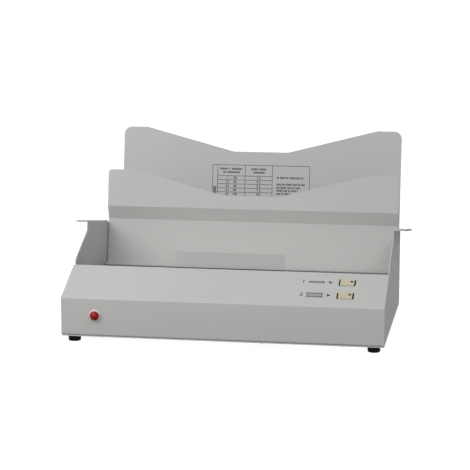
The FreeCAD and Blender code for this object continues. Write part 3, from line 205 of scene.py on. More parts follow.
PLATEN_ROUGHNESS = 0.50
PIN_ROUGHNESS = 0.30
ACROSS = 0
REARWARD = 1


def powder_coat():
    """Light grey powder coat: fine orange peel, faint cloudiness and a pinhead speckle."""
    coat = Finish("powder_coat", PAINT_GREY, {"Specular IOR Level": 0.38})
    peel = coat.noise(ORANGE_PEEL)
    speckle = coat.noise(PINHEADS, detail=1.0)
    cloud = coat.noise(PAINT_CLOUDS, detail=3.0)
    coat.set("Base Color", coat.tinted(0.965 + cloud * 0.04 + speckle * 0.03))
    coat.set("Roughness", 0.38 + peel * 0.10 + cloud * 0.04)
    coat.set("Normal", coat.bump(peel + speckle * 0.4, strength=0.10, depth=PEEL_DEPTH))
    return coat


def brushed_metal(name, colour, roughness, along):
    """Metal with fine lines drawn out along one axis and broad cloudy handling marks."""
    metal = Finish(name, colour, {"Metallic": 1.0})
    stretch = tuple(BRUSH_DRAW if axis == along else 1.0 for axis in range(3))
    lines = metal.noise(BRUSH_LINES, detail=3.0, stretch=stretch)
    marks = metal.noise(HANDLING_MARKS, detail=4.0)
    metal.set("Base Color", metal.tinted(0.86 + lines * 0.16 + marks * 0.10))
    metal.set("Roughness", roughness - 0.10 + lines * 0.14 + marks * 0.10)
    metal.set("Normal", metal.bump(lines, strength=0.12, depth=METAL_DEPTH))
    return metal


def plated_steel():
    """Zinc plate: pale, slightly blotched, with small dull spots."""
    metal = Finish("plated_steel", ZINC_GREY, {"Metallic": 0.95})
    blotch = metal.noise(ZINC_BLOTCHES, detail=4.0)
    grain = metal.noise(ZINC_GRAIN)
    metal.set("Base Color", metal.tinted(0.80 + blotch * 0.28 + grain * 0.08))
    metal.set("Roughness", 0.22 + blotch * 0.18 + grain * 0.10)
    metal.set("Normal", metal.bump(grain, strength=0.08, depth=METAL_DEPTH))
    return metal


def moulded(name, colour, roughness, sparks, depth):
    """Moulded plastic or rubber: an even spark texture, faint flow clouds and duller high spots."""
    plastic = Finish(name, colour)
    spark = plastic.noise(sparks)
    flow = plastic.noise(FLOW_CLOUDS, detail=3.0)
    plastic.set("Base Color", plastic.tinted(0.92 + flow * 0.10 + spark * 0.06))
    plastic.set("Roughness", roughness - 0.06 + spark * 0.12)
    plastic.set("Normal", plastic.bump(spark, strength=0.20, depth=depth))
    return plastic


def red_lens():
    """Deep red clear plastic, its colour darkened and brightened in random patches: painted shade for the
    lens's depth and painted highlights for the light its facets throw about.
    """
    gloss = {"Specular IOR Level": 0.18, "Coat Weight": 0.06, "Coat Roughness": 0.05}
    lens = Finish("red_lens", LENS_RED, gloss)
    # Painted shade and painted highlights: noise patches make the red darker and brighter
    depth = lens.noise(LENS_PAINTED_PATCHES, detail=1.0)
    lens.set("Base Color", lens.tinted(depth * 3.4 - 0.72))
    lens.set("Roughness", 0.06 + depth * 0.08)
    return lens


def board_mask():
    """Green board lacquer with a faint maze of copper tracks under it."""
    board = Finish("board_mask", BOARD_GREEN, {"Roughness": 0.35})
    maze = {"feature": "DISTANCE_TO_EDGE", "distance": "MANHATTAN"}
    tracks = board.node("ShaderNodeTexVoronoi", maze, {"Vector": board.place(), "Scale": BOARD_TRACKS})
    bare = tracks > TRACK_EDGE
    board.set("Base Color", board.mixed(bare, TRACK_GREEN, board.colour))
    board.set("Normal", board.bump(bare, strength=0.15, depth=TRACK_DEPTH))
    return board


def fibre_felt():
    """Pressed ceramic fibre: pale, with a random lay of short threads."""
    felt = Finish("fibre_felt", FELT_CREAM, {"Roughness": 0.95})
    threads = felt.noise(FELT_THREADS, detail=5.0, stretch=FELT_DRAW)
    felt.set("Base Color", felt.tinted(0.78 + threads * 0.4))
    felt.set("Normal", felt.bump(threads, strength=0.6, depth=FELT_DEPTH))
    return felt


def printing_ink(name, colour):
    """Thin screen-printed ink with a slightly uneven lay."""
    ink = Finish(name, colour, {"Roughness": 0.55})
    lay = ink.noise(INK_LAY)
    ink.set("Base Color", ink.tinted(0.80 + lay * 0.40))
    return ink


FINISHES = {slot: moulded(slot, *recipe) for slot, recipe in MOULDED.items()}
FINISHES["foot_rubber"].set("Specular IOR Level", RUBBER_GLOSS)
FINISHES["painted_sheet"] = powder_coat()
FINISHES["platen_metal"] = brushed_metal("platen_metal", PLATEN_GREY, PLATEN_ROUGHNESS, ACROSS)
FINISHES["pin_brass"] = brushed_metal("pin_brass", PIN_YELLOW, PIN_ROUGHNESS, REARWARD)
FINISHES["plated_steel"] = plated_steel()
FINISHES["fibre_pad"] = fibre_felt()
FINISHES["circuit_board"] = board_mask()
FINISHES["red_lens"] = red_lens()
DARK_INK = printing_ink("print_ink", INK_BLACK)
PALE_INK = printing_ink("white_ink", INK_WHITE)


# Meshes: where corners are merged, flat faces joined and sharp edges rounded

DOUBLES = 1e-7
CAD_DOUBLES = 1e-6
CAD_DECIMALS = 7
FLAT_ANGLE = math.radians(0.4)
SHARP_ANGLE = math.radians(32)
EDGE_SOFTNESS = 0.45 * MM
PLASTIC_SOFTNESS = 0.25 * MM
EDGE_STEPS = 2


def turns(sides):
    """Angles of the corners of a regular figure."""
    return np.linspace(0, 2 * np.pi, sides, endpoint=False)


def sideways(axis):
    """Two directions at right angles to an axis and to each other."""
    first = np.roll(np.abs(axis), 1)
    return first, np.cross(axis, first)


def read(items, name, width, kind=float):
    """One property of every corner, edge or face of a mesh, as an array."""
    values = np.empty(len(items) * width, kind)
    items.foreach_get(name, values)
    return values.reshape(-1, width)


def surfaces(name, grids, closed=False):
    """One mesh over several grids of points, (grid, row, column, xyz).

    Neighbouring points make a quad; closed joins each row's end to its start.
    """
    count, rows, columns = grids.shape[:3]
    index = np.arange(count * rows * columns).reshape(count, rows, columns)
    if closed:
        index = np.concatenate([index, index[:, :, :1]], axis=2)
    corners = (index[:, :-1, :-1], index[:, :-1, 1:], index[:, 1:, 1:], index[:, 1:, :-1])
    quads = np.stack(corners, axis=-1).reshape(-1, 4)
    mesh = bpy.data.meshes.new(name)
    mesh.from_pydata(grids.reshape(-1, 3).tolist(), [], quads.tolist())
    return mesh


def cleaned(mesh):
    """The mesh with its doubles merged, its empty faces gone and its normals outward."""
    work = bmesh.new()
    work.from_mesh(mesh)
    bmesh.ops.remove_doubles(work, verts=work.verts, dist=DOUBLES)
    bmesh.ops.dissolve_degenerate(work, edges=work.edges, dist=DOUBLES)
    bmesh.ops.recalc_face_normals(work, faces=work.faces)
    work.to_mesh(mesh)
    work.free()
    return mesh


def carried(profile, start, end, first, second):
    """Closed bar: a profile (n, 2) along two directions, carried from start to end.

    At each end the profile is drawn together to its middle.
    """
    centre = profile.mean(axis=0)
    shares = np.array([0, 1, 1, 0])[:, None, None]
    section = centre + shares * (profile - centre)
    ends = np.array([start, start, end, end])[:, None, :]
    return (ends + section[..., :1] * np.array(first) + section[..., 1:] * np.array(second))[None]


def turned(profile, centres, axis, sides):
    """Solids of revolution: profile (n, 2) of radius and height, turned about an axis at each centre.

    A point is centre + axis * height + radius * (cos t * first + sin t * second).
    """
    axis = np.asarray(axis, float)
    first, second = sideways(axis)
    turn = turns(sides)
    ring = np.cos(turn)[:, None] * first + np.sin(turn)[:, None] * second
    shape = profile[:, 0, None, None] * ring[None] + profile[:, 1, None, None] * axis
    return np.asarray(centres)[:, None, None, :] + shape[None]


def islands(node):
    """Lowest and highest corners of each separate solid in a CAD node.

    Each corner starts with a label of its own, and the least label spreads along edges until all is steady.
    """
    mesh = nodes[node].data
    places = np.round(read(mesh.vertices, "co", 3), CAD_DECIMALS)
    merged, same = np.unique(places, axis=0, return_inverse=True)
    ends = same.reshape(-1)[read(mesh.edges, "vertices", 2, int)]
    labels = np.arange(len(merged))
    spreading = True
    while spreading:
        before = labels.copy()
        least = np.minimum(labels[ends[:, 0]], labels[ends[:, 1]])
        np.minimum.at(labels, ends[:, 0], least)
        np.minimum.at(labels, ends[:, 1], least)
        spreading = not np.array_equal(before, labels)
    groups = [merged[labels == label] for label in np.unique(labels)]
    return [(group.min(0), group.max(0)) for group in groups]


# Pieces

def finish_of(node):
    return FINISHES[SLOT_OF[node]]


def piece(name, mesh, finish, body, smooth=True):
    """A finished piece of the machine that rides on a body and takes the finish it is given."""
    thing = bpy.data.objects.new(name, mesh)
    bpy.context.scene.collection.objects.link(thing)
    mesh.materials.clear()
    mesh.materials.append(finish.material)
    mesh.polygons.foreach_set("use_smooth", np.full(len(mesh.polygons), smooth))
    mesh.update()
    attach(thing, body)
    return thing


def stand_in(node, mesh, smooth=True):
    """A piece that stands for a CAD node, with the node's own body, slot and finish."""
    thing = piece(node + "_finished", mesh, finish_of(node), BODY_OF[node], smooth)
    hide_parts(node)
    return thing


def round_edges(thing, width):
    """Sharp edges of a piece rounded to a width."""
    thing.data.set_sharp_from_angle(angle=SHARP_ANGLE)
    bevel = thing.modifiers.new("soft_edges", "BEVEL")
    bevel.width = width
    bevel.segments = EDGE_STEPS
    bevel.limit_method = "ANGLE"
    bevel.angle_limit = SHARP_ANGLE
    bevel.harden_normals = True


def soft_edged(node, width):
    """Copy of a CAD node with flat faces joined and sharp edges rounded, as paint and moulds leave them."""
    mesh = nodes[node].data.copy()
    work = bmesh.new()
    work.from_mesh(mesh)
    bmesh.ops.remove_doubles(work, verts=work.verts, dist=CAD_DOUBLES)
    bmesh.ops.dissolve_limit(work, angle_limit=FLAT_ANGLE, verts=work.verts, edges=work.edges)
    work.to_mesh(mesh)
    work.free()
    round_edges(stand_in(node, mesh), width)


# Screws: sizes as shares of the head's radius, the depth of the cross apart

SHANK_RADIUS = 0.52
HEAD_HEIGHT = 0.6
POLE = 0.02
RECESS_RINGS = np.linspace(POLE, 0.72, 15)
RIM_RINGS = np.linspace(0.78, 1.0, 5)
DOME_FALL = 0.55
DOME_POWER = 4
CROSS_REACH = 0.62
CROSS_TAPER = 0.2
CROSS_WIDTH = 0.17
CROSS_WALL = 0.06
CROSS_DEPTH = 0.9 * MM
HEAD_SIDES = 48


def cross_bar(along, aside):
    """One bar of the cross recess: 1 on its floor, falling to 0 at its walls and its tapered ends."""
    wall = np.clip((CROSS_WIDTH - np.abs(aside)) / CROSS_WALL, 0, 1)
    taper = np.clip((CROSS_REACH - np.abs(along)) / CROSS_TAPER, 0, 1)
    return wall * taper


def screw_heads(node, outward):
    """Pan-head screws for a CAD group, with a cross recess pressed into each domed head.

    Over the head, height = dome(r) - depth * cross, where the cross is the deeper of two crossed bars.
    """
    outward = np.asarray(outward, float)
    axis = int(np.abs(outward).argmax())
    across = (axis + 1) % 3
    solids = islands(node)
    low, high = solids[0]
    radius = (high[across] - low[across]) / 2
    length = high[axis] - low[axis]
    shank = radius * SHANK_RADIUS
    head = radius * HEAD_HEIGHT
    seats = []
    for low, high in solids:
        seat = (low + high) / 2
        crown = high if outward[axis] > 0 else low
        seat[axis] = crown[axis] - outward[axis] * head
        seats.append(seat)
    rings = np.concatenate([RECESS_RINGS, RIM_RINGS])[:, None]
    turn = turns(HEAD_SIDES)
    first, second = sideways(outward)
    spot_a = rings * np.cos(turn)
    spot_b = rings * np.sin(turn)
    dome = 1 - DOME_FALL * rings ** DOME_POWER
    cross = np.maximum(cross_bar(spot_a, spot_b), cross_bar(spot_b, spot_a))
    height = head * dome - CROSS_DEPTH * cross
    flat = (spot_a * radius)[..., None] * first + (spot_b * radius)[..., None] * second
    top = flat + height[..., None] * outward
    tip = head - length
    sides = np.array([(radius, 0.0), (shank, 0.0), (shank, tip), (shank * POLE, tip)])
    below = turned(sides, np.zeros((1, 3)), outward, HEAD_SIDES)[0]
    grids = np.asarray(seats)[:, None, None, :] + np.concatenate([top, below])[None]
    mesh = cleaned(surfaces(node + "_heads", grids, closed=True))
    stand_in(node, mesh)
    mesh.set_sharp_from_angle(angle=SHARP_ANGLE)


# Feet: radius and height of the profile as shares of the foot's own

FOOT_PROFILE = np.array([
    (0.26, 1.00), (0.94, 1.00), (0.985, 0.97), (1.00, 0.90), (0.985, 0.72), (0.955, 0.64), (0.90, 0.60),
    (0.885, 0.56), (0.90, 0.52), (0.93, 0.47), (0.925, 0.22), (0.905, 0.10), (0.86, 0.025), (0.80, 0.0),
    (0.54, 0.0), (0.50, 0.03), (0.50, 0.55), (0.26, 0.55), (0.26, 1.00),
])
FOOT_SIDES = 64
FOOT_SHARP_ANGLE = math.radians(50)


def rubber_foot(node):
    """Turned rubber foot: rolled upper lip, waist groove, rounded tread edge and the screw well below."""
    low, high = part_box(node)
    size = ((high.x - low.x) / 2, high.z - low.z)
    centre = np.array([[(low.x + high.x) / 2, (low.y + high.y) / 2, low.z]])
    foot = turned(FOOT_PROFILE * size, centre, (0, 0, 1), FOOT_SIDES)
    mesh = cleaned(surfaces(node + "_rubber", foot, closed=True))
    stand_in(node, mesh)
    mesh.set_sharp_from_angle(angle=FOOT_SHARP_ANGLE)


# Dark strip at the front stop's foot: a painted shadow of the gap there

STRIP_THICK = 1.3 * MM
STRIP_CLEAR = 0.02 * MM
STRIP_RISE = 0.65 * MM
STRIP_DROP = 3.0 * MM
ARC_POINTS = 9


def stop_strip():
    """Thin black strip in the gap between the console's rear edge and the front stop: a painted shadow, a
    dark piece that stands for the shade in that gap.

    Its profile, a half circle over two straight sides, is carried along the stop.
    """
    low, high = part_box("front_stop")
    _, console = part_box("front_cover")
    radius = STRIP_THICK / 2
    turn = np.linspace(0, np.pi, ARC_POINTS)
    depth = radius * np.concatenate([[1.0], np.cos(turn), [-1.0]])
    arc = STRIP_RISE - radius + radius * np.sin(turn)
    rise = np.concatenate([[-STRIP_DROP], arc, [-STRIP_DROP]])
    middle = low.y - STRIP_CLEAR - radius
    start = (low.x, middle, console.z)
    end = (high.x, middle, console.z)
    bar = carried(np.stack([depth, rise], axis=-1), start, end, (0, 1, 0), (0, 0, 1))
    mesh = cleaned(surfaces("stop_strip", bar, closed=True))
    # Painted shadow: black plastic laid where the gap before the stop would be in shade
    piece("stop_strip", mesh, FINISHES["black_plastic"], BODY_OF["front_stop"])
    mesh.set_sharp_from_angle(angle=SHARP_ANGLE)


# Hems on the side plates' flanges

HEM_ROOT = 13.5 * MM
HEM_INSET = 0.4 * MM
HEM_CORNER = 4.0 * MM
HEM_CLEAR = 0.03 * MM


def flange_hem(node, side):
    """The edge of a side plate's leaning flange folded flat on itself: a profile with a round outer edge.

    It lies on the flange's upper face, which is as far along the flange's normal as any point of the flange.
    """
    corners = read(nodes[node].data.vertices, "co", 3)
    outward = side * corners[:, 0]
    reach = outward.max()
    root = reach - HEM_ROOT
    flange = corners[outward > root]
    along = np.array((0.0, math.cos(HOLDER_LEAN), -math.sin(HOLDER_LEAN)))
    normal = np.array((0.0, math.sin(HOLDER_LEAN), math.cos(HOLDER_LEAN)))
    level = (flange @ normal).max() * normal
    start = level + ((flange @ along).min() + HEM_CORNER) * along
    end = level + ((flange @ along).max() - HEM_CORNER) * along
    radius = GAUGE / 2
    turn = np.linspace(-np.pi / 2, np.pi / 2, ARC_POINTS)
    edge = reach - HEM_INSET - radius
    across = np.concatenate([[root], edge + radius * np.cos(turn), [root]])
    rise = np.concatenate([[0.0], radius + radius * np.sin(turn), [GAUGE]]) + HEM_CLEAR
    bar = carried(np.stack([side * across, rise], axis=-1), start, end, (1, 0, 0), normal)
    mesh = cleaned(surfaces(node + "_hem", bar, closed=True))
    thing = piece(node + "_hem", mesh, finish_of(node), BODY_OF[node])
    round_edges(thing, EDGE_SOFTNESS)


# Pilot lamp: radius and rise of each ring as shares, and whether the ring is turned by half a facet

LENS_SIDES = 12
LENS_RINGS = np.array([(1.00, 0.00), (1.00, 0.20), (0.86, 0.48), (0.62, 0.76), (0.34, 0.95), (0.02, 1.00)])
LENS_HALF_TURNS = np.array([0, 0, 1, 0, 1, 0])
SPIGOT_RINGS = np.array([(0.02, 1.0), (0.66, 1.0), (0.66, 0.0)])


def lens_rings(shares, radius, depth, turn):
    """Points round the lens's axis: (radius * cos t, depth, radius * sin t) for each ring's share of both."""
    radii = shares[:, :1] * radius
    depths = shares[:, 1:] * depth + 0 * turn
    return np.stack([radii * np.cos(turn), depths, radii * np.sin(turn)], axis=-1)


def faceted_lens():
    """Cut red lens: rings of flat facets, some turned half a facet from the last, over a round spigot."""
    low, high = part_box("pilot_lamp_lens")
    ring_low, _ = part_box("pilot_lamp_body")
    radius = (high.x - low.x) / 2
    centre = np.array([(low.x + high.x) / 2, ring_low.y, (low.z + high.z) / 2])
    plain = turns(LENS_SIDES)[None]
    shifted = plain + LENS_HALF_TURNS[:, None] * np.pi / LENS_SIDES
    spigot = lens_rings(SPIGOT_RINGS, radius, high.y - ring_low.y, plain)
    crown = lens_rings(LENS_RINGS, radius, low.y - ring_low.y, shifted)
    grid = centre + np.concatenate([spigot, crown])[None]
    stand_in("pilot_lamp_lens", cleaned(surfaces("pilot_lamp_lens_cut", grid, closed=True)), smooth=False)


# Print

INK_LIFT = 0.03 * MM
INK_THICK = 0.03 * MM
FIGURE_WEIGHT = 0.10 * MM
STROKE = 0.70 * MM
STROKE_STEP = 1.0 * MM
STROKE_RISE = (1.0, 0.78, 0.82, 0.78, 0.95, 0.80)
SMALL_PRINT = 2.9 * MM


class Print:
    """Ink marks drawn in the plane of a panel, a across and b up it, and laid on it as one thin piece."""

    def __init__(self, name, origin, across, up):
        self.name = name
        across = Vector(across)
        up = Vector(up)
        turn = Matrix((across, up, across.cross(up))).transposed()
        self.to_panel = Matrix.Translation(Vector(origin)) @ turn.to_4x4()
        self.work = bmesh.new()

    def add(self, mesh):
        self.work.from_mesh(mesh)
        bpy.data.meshes.remove(mesh)

    def bars(self, boxes):
        """Filled rectangles, each (a low, a high, b low, b high)."""
        low_a, high_a, low_b, high_b = np.asarray(boxes, float).T
        level = 0 * low_a
        rows = [np.stack([low_a, b, level, high_a, b, level], axis=-1) for b in (low_b, high_b)]
        self.add(surfaces(self.name + "_bars", np.stack(rows, axis=1).reshape(-1, 2, 2, 3)))

    def strokes(self, left, right, level):
        """A row of plain upright strokes of uneven height, that reads as small print from afar."""
        starts = np.arange(left, right - STROKE, STROKE_STEP)
        rises = SMALL_PRINT * np.resize(STROKE_RISE, len(starts))
        foot = np.full(len(starts), level - SMALL_PRINT / 2)
        self.bars(np.stack([starts, starts + STROKE, foot, foot + rises], axis=-1))

    def outline(self, box, stroke):
        """Outline of a rectangle."""
        left, right, low, high = box
        self.bars([(left, right, low, low + stroke), (left, right, high - stroke, high),
                   (left, left + stroke, low, high), (right - stroke, right, low, high)])

    def ring(self, inner, outer, sides):
        """Filled band between two circles: radius and turn make the grid."""
        turn = np.linspace(0, 2 * np.pi, sides + 1)
        circle = np.stack([np.cos(turn), np.sin(turn), 0 * turn], axis=-1)
        self.add(surfaces(self.name + "_ring", np.stack([inner * circle, outer * circle])[None]))

    def polygon(self, corners):
        """Filled outline of (a, b) corners, counterclockwise."""
        mesh = bpy.data.meshes.new(self.name + "_shape")
        mesh.from_pydata([(a, b, 0) for a, b in corners], [], [list(range(len(corners)))])
        self.add(mesh)

    def figures(self, text, a, b, size):
        """Plain figures, centred on a point."""
        curve = bpy.data.curves.new(self.name + "_figures", "FONT")
        curve.body = text
        curve.size = size
        curve.offset = FIGURE_WEIGHT
        curve.align_x = "CENTER"
        curve.align_y = "CENTER"
        holder = bpy.data.objects.new(self.name + "_holder", curve)
        mesh = bpy.data.meshes.new_from_object(holder)
        mesh.transform(Matrix.Translation((a, b, 0)))
        self.add(mesh)
        bpy.data.objects.remove(holder)
        bpy.data.curves.remove(curve)

    def lay(self, ink, body, slot):
        """Puts the marks on the panel with a hair of ink thickness."""
        mesh = bpy.data.meshes.new(self.name)
        self.work.to_mesh(mesh)
        self.work.free()
        mesh.transform(self.to_panel @ Matrix.Translation((0, 0, INK_LIFT)))
        thing = piece(self.name, mesh, ink, body, smooth=False)
        solid = thing.modifiers.new("ink_thickness", "SOLIDIFY")
        solid.thickness = INK_THICK
        solid.offset = 0.0


# Guide table: places in the plane of the rack sheet, from the middle of its top

RULE = 0.62 * MM
TABLE_LEFT = -64.3 * MM
TABLE_RIGHT = 65.6 * MM
TABLE_COLUMNS = (-57.4 * MM, -20.5 * MM, 15.9 * MM)
TABLE_TOP = -48.0 * MM
TABLE_HEADER = 14.6 * MM
TABLE_ROW = 5.4 * MM
TABLE_ROWS = 12
FIGURE_SIZE = 4.6 * MM
FIGURE_GAP = 5.0 * MM
SHEETS_IN_ROW = 20
FIRST_WIDTH = 1.5
WIDTH_STEP = 2
MARGIN = 1.4 * MM
MARGIN_PRINT_TOP = -77.0 * MM
NOTE_LEFT = 6.0 * MM
NOTE_RIGHT = 5.0 * MM

# Words of the headers, in millimetres: drop from the table's top, start and end about the column's middle
HEADER_SHEETS = ((5.2, -15.0, -5.0), (5.2, -3.6, -1.0), (5.2, 0.4, 15.0),
                 (9.6, -11.0, -7.0), (9.6, -5.4, 12.0))
HEADER_WIDTHS = ((5.2, -10.0, -1.0), (5.2, 0.6, 10.0), (9.6, -7.0, 8.0))

# Lines of the notes: height in millimetres and the share of the column that the line fills
NOTE_LINES = ((-63.9, 0.94), (-72.6, 0.97), (-77.0, 0.84), (-80.9, 0.74), (-84.9, 0.50),
              (-94.0, 0.90), (-98.4, 0.96), (-102.8, 0.60))
NOTE_WORDS = (3, 6, 4, 8, 5)
WORD_GAP = 1.3 * MM


def guide_table():
    """Ruled table on the front of the rack sheet: sheet counts against spine widths, as plain numbers."""
    _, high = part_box("rack_sheet")
    lean_back = math.sin(HOLDER_LEAN)
    lean_up = math.cos(HOLDER_LEAN)
    top = (0.0, high.y - GAUGE * lean_up, high.z)
    table = Print("guide_table_print", top, (1, 0, 0), (0, lean_back, lean_up))
    header = TABLE_TOP - TABLE_HEADER
    foot = header - TABLE_ROW * TABLE_ROWS
    first, second, third = TABLE_COLUMNS
    half = RULE / 2
    table.outline((TABLE_LEFT, TABLE_RIGHT, foot, TABLE_TOP), RULE)
    uprights = [(a - half, a + half, foot, TABLE_TOP) for a in TABLE_COLUMNS]
    levels = header - TABLE_ROW * np.arange(TABLE_ROWS)
    table.bars(uprights + [(first, third, b - half, b + half) for b in levels])
    sheets = (first + second) / 2
    widths = (second + third) / 2
    for row in range(TABLE_ROWS):
        middle = header - TABLE_ROW * (row + 0.5)
        most = SHEETS_IN_ROW * (row + 1)
        table.figures(str(most - SHEETS_IN_ROW + 1), sheets - FIGURE_GAP, middle, FIGURE_SIZE)
        table.figures(str(most), sheets + FIGURE_GAP, middle, FIGURE_SIZE)
        table.figures(f"{FIRST_WIDTH + row * WIDTH_STEP:.1f}", widths, middle, FIGURE_SIZE)
    for middle, words in ((sheets, HEADER_SHEETS), (widths, HEADER_WIDTHS)):
        for drop, start, end in words:
            table.strokes(middle + start * MM, middle + end * MM, TABLE_TOP - drop * MM)
    steps = np.arange(MARGIN_PRINT_TOP, foot, -STROKE_STEP)
    table.bars([(TABLE_LEFT + MARGIN, first - MARGIN, level - STROKE, level) for level in steps])
    note_lines(table, third + NOTE_LEFT, TABLE_RIGHT - NOTE_RIGHT)
    table.lay(DARK_INK, "casing", "painted_sheet")


def note_lines(table, left, right):
    """Small print in the table's right-hand column: words of a few strokes each."""
    for row, (level, share) in enumerate(NOTE_LINES):
        start = left
        end = left + (right - left) * share
        word = row
        while start + STROKE_STEP < end:
            stop = min(start + NOTE_WORDS[word % len(NOTE_WORDS)] * STROKE_STEP, end)
            table.strokes(start, stop, level * MM)
            start = stop + WORD_GAP
            word += 1


# Marks on the keys, the rocker and the console

ROCKER_MARK = 1.7 * MM
ROCKER_LINE = 0.5 * MM
ROCKER_MARK_SIDES = 32
NORMAL_DECIMALS = 2
REAR_FACING = 0.6
KEY_SEAL_RADIUS = 1.75 * MM
KEY_SEAL_SIDES = 24
SOFT_ROW = 48.5 * MM
SOFT_BOOK = 3.8 * MM
CASED_ROW = 22.4 * MM
CASED_BOOK = 6.0 * MM
PAGE_STEP = 1.9 * MM
BOOK_LINE = 0.95 * MM
BOOK_LEFT = 98.0 * MM
BOOK_RIGHT = 116.0 * MM
BOOK_SPINE = 1.5 * MM
BOARD_OVERHANG = 1.6 * MM
NUMBER_GAP = 6.5 * MM
NUMBER_SIZE = 9.0 * MM
POINTER_REACH = 10.0 * MM
POINTER_LENGTH = 4.6 * MM
POINTER_HALF = 2.8 * MM


def rocker_marks():
    """A bar on the rocker's upper face and a ring on the lower: each mark sits in the middle of a flat face.

    Faces with the same normal are added up; the two largest that look to the rear are the rocker's faces.
    """
    faces = nodes["power_rocker"].data.polygons
    normals = read(faces, "normal", 3)
    areas = read(faces, "area", 1)[:, 0]
    centres = read(faces, "center", 3)
    kinds, group = np.unique(np.round(normals, NORMAL_DECIMALS), axis=0, return_inverse=True)
    group = group.reshape(-1)
    sizes = np.bincount(group, areas) * (kinds[:, 1] > REAR_FACING)
    flats = []
    for kind in np.argsort(sizes)[-2:]:
        members = group == kind
        middle = np.average(centres[members], axis=0, weights=areas[members])
        flats.append((middle, normals[members][0]))
    flats.sort(key=lambda flat: flat[0][2])
    across = np.array((-1.0, 0.0, 0.0))
    half = ROCKER_LINE / 2
    for (middle, normal), name in zip(flats, ("off", "on")):
        mark = Print("rocker_" + name + "_mark", middle, across, np.cross(normal, across))
        if name == "off":
            mark.ring(ROCKER_MARK - ROCKER_LINE, ROCKER_MARK, ROCKER_MARK_SIDES)
        else:
            mark.bars([(-half, half, -ROCKER_MARK, ROCKER_MARK)])
        mark.lay(PALE_INK, "rocker", "black_plastic")


def slope_up():
    """Direction up the sloped console."""
    length = math.hypot(SLOPE_RUN, SLOPE_RISE)
    return np.array((0.0, SLOPE_RUN / length, SLOPE_RISE / length))


def key_seals():
    """A dark round seal about each key's lens, flat on the cap's highest plane along the slope's normal."""
    across = np.array((1.0, 0.0, 0.0))
    up = slope_up()
    normal = np.cross(across, up)
    turn = turns(KEY_SEAL_SIDES)
    ring = np.stack([np.cos(turn), np.sin(turn)], axis=-1) * KEY_SEAL_RADIUS
    for key in ("upper_key", "lower_key"):
        cap = read(nodes[key + "_cap"].data.vertices, "co", 3)
        low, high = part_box(key + "_lens")
        middle = np.array((low + high) / 2)
        origin = middle + normal * ((cap @ normal).max() - middle @ normal)
        seal = Print(key + "_seal", origin, across, up)
        seal.polygon(ring.tolist())
        seal.lay(DARK_INK, key, "key_lens")


def slope_print():
    """Beside each key a plain number, a book and a pointer: a soft book above, a thicker cased one below."""
    low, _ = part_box("front_cover")
    bend = (0.0, low.y, low.z + FRONT_FOLD)
    marks = Print("key_pictograms", bend, (1, 0, 0), slope_up())
    page = BOOK_LINE / 4
    tip = BOOK_RIGHT + POINTER_REACH
    tail = tip - POINTER_LENGTH
    for number, along, thick in ((1, SOFT_ROW, SOFT_BOOK), (2, CASED_ROW, CASED_BOOK)):
        marks.figures(str(number), BOOK_LEFT - NUMBER_GAP, along, NUMBER_SIZE)
        marks.outline((BOOK_LEFT, BOOK_RIGHT, along - thick / 2, along + thick / 2), BOOK_LINE)
        leaves = round(thick / PAGE_STEP) - 1
        pages = along - thick / 2 + PAGE_STEP * np.arange(1, leaves + 1)
        marks.bars([(BOOK_LEFT + BOOK_SPINE, BOOK_RIGHT, level - page, level + page) for level in pages])
        marks.polygon([(tip, along), (tail, along + POINTER_HALF), (tail, along - POINTER_HALF)])
    left = BOOK_LEFT - BOARD_OVERHANG
    right = BOOK_RIGHT + BOARD_OVERHANG
    half = BOOK_LINE / 2
    board = CASED_BOOK / 2 + BOOK_LINE
    levels = (CASED_ROW - board, CASED_ROW + board)
    marks.bars([(left, right, level - half, level + half) for level in levels])
    marks.lay(DARK_INK, "casing", "painted_sheet")


# The whole machine

SHEETS = ("base_plate", "front_cover", "left_side_plate", "right_side_plate", "rear_panel", "deck_plate",
          "front_stop", "backrest_sheet", "rack_sheet", "heater_platen")
MOULDINGS = ("upper_key_cap", "lower_key_cap", "upper_key_lens", "lower_key_lens", "pilot_lamp_body",
             "power_inlet", "power_switch", "power_rocker", "inlet_pins")
FEET = ("front_left_foot", "front_right_foot", "rear_left_foot", "rear_right_foot")
SCREWS = {
    "rack_screws": (0, 1, 0),
    "inlet_screws": (0, 1, 0),
    "stop_screws": (0, 0, 1),
    "base_screws": (0, 0, -1),
    "foot_screws": (0, 0, -1),
    "transformer_screws": (0, 0, -1),
    "backrest_screws": (0, 0, -1),
    "console_screws": (0, 0, -1),
}

for node, thing in nodes.items():
    thing.data.materials.clear()
    thing.data.materials.append(finish_of(node).material)
for node in SHEETS:
    soft_edged(node, EDGE_SOFTNESS)
for node in MOULDINGS:
    soft_edged(node, PLASTIC_SOFTNESS)
for node in FEET:
    rubber_foot(node)
for node, outward in SCREWS.items():
    screw_heads(node, outward)
stop_strip()
flange_hem("left_side_plate", -1)
flange_hem("right_side_plate", 1)
faceted_lens()
guide_table()
slope_print()
key_seals()
rocker_marks()


# Studio

WHITE = (1.0, 1.0, 1.0, 1.0)
FLOOR_RADIUS = 40.0
FLOOR_SIDES = 64
FLOOR_GREY = (0.25, 0.25, 0.25)
FLOOR_ROUGHNESS = 0.9
FLOOR_GLOW = 0.93
ROOM_LEVEL = 0.44
LIGHT_AIM = Vector((0.0, 0.0, 0.1))
SOFT_BOX_PLACE = (-0.6, -0.5, 1.5)
SOFT_BOX_SIZE = 1.2
SOFT_BOX_POWER = 5.1
WINDOW_PLACE = (-1.0, -0.9, 1.0)
WINDOW_SIZE = 0.9
WINDOW_POWER = 10.8
FRONT_FILL_PLACE = (0.0, -2.7, 1.4)
FRONT_FILL_POWER = 0.49
RIGHT_FILL_PLACE = (1.35, -1.35, 2.3)
RIGHT_FILL_POWER = 0.58
REAR_FILL_PLACE = (-0.6, 2.8, 0.95)
REAR_FILL_POWER = 1.0
FILL_SPREAD = math.radians(28)

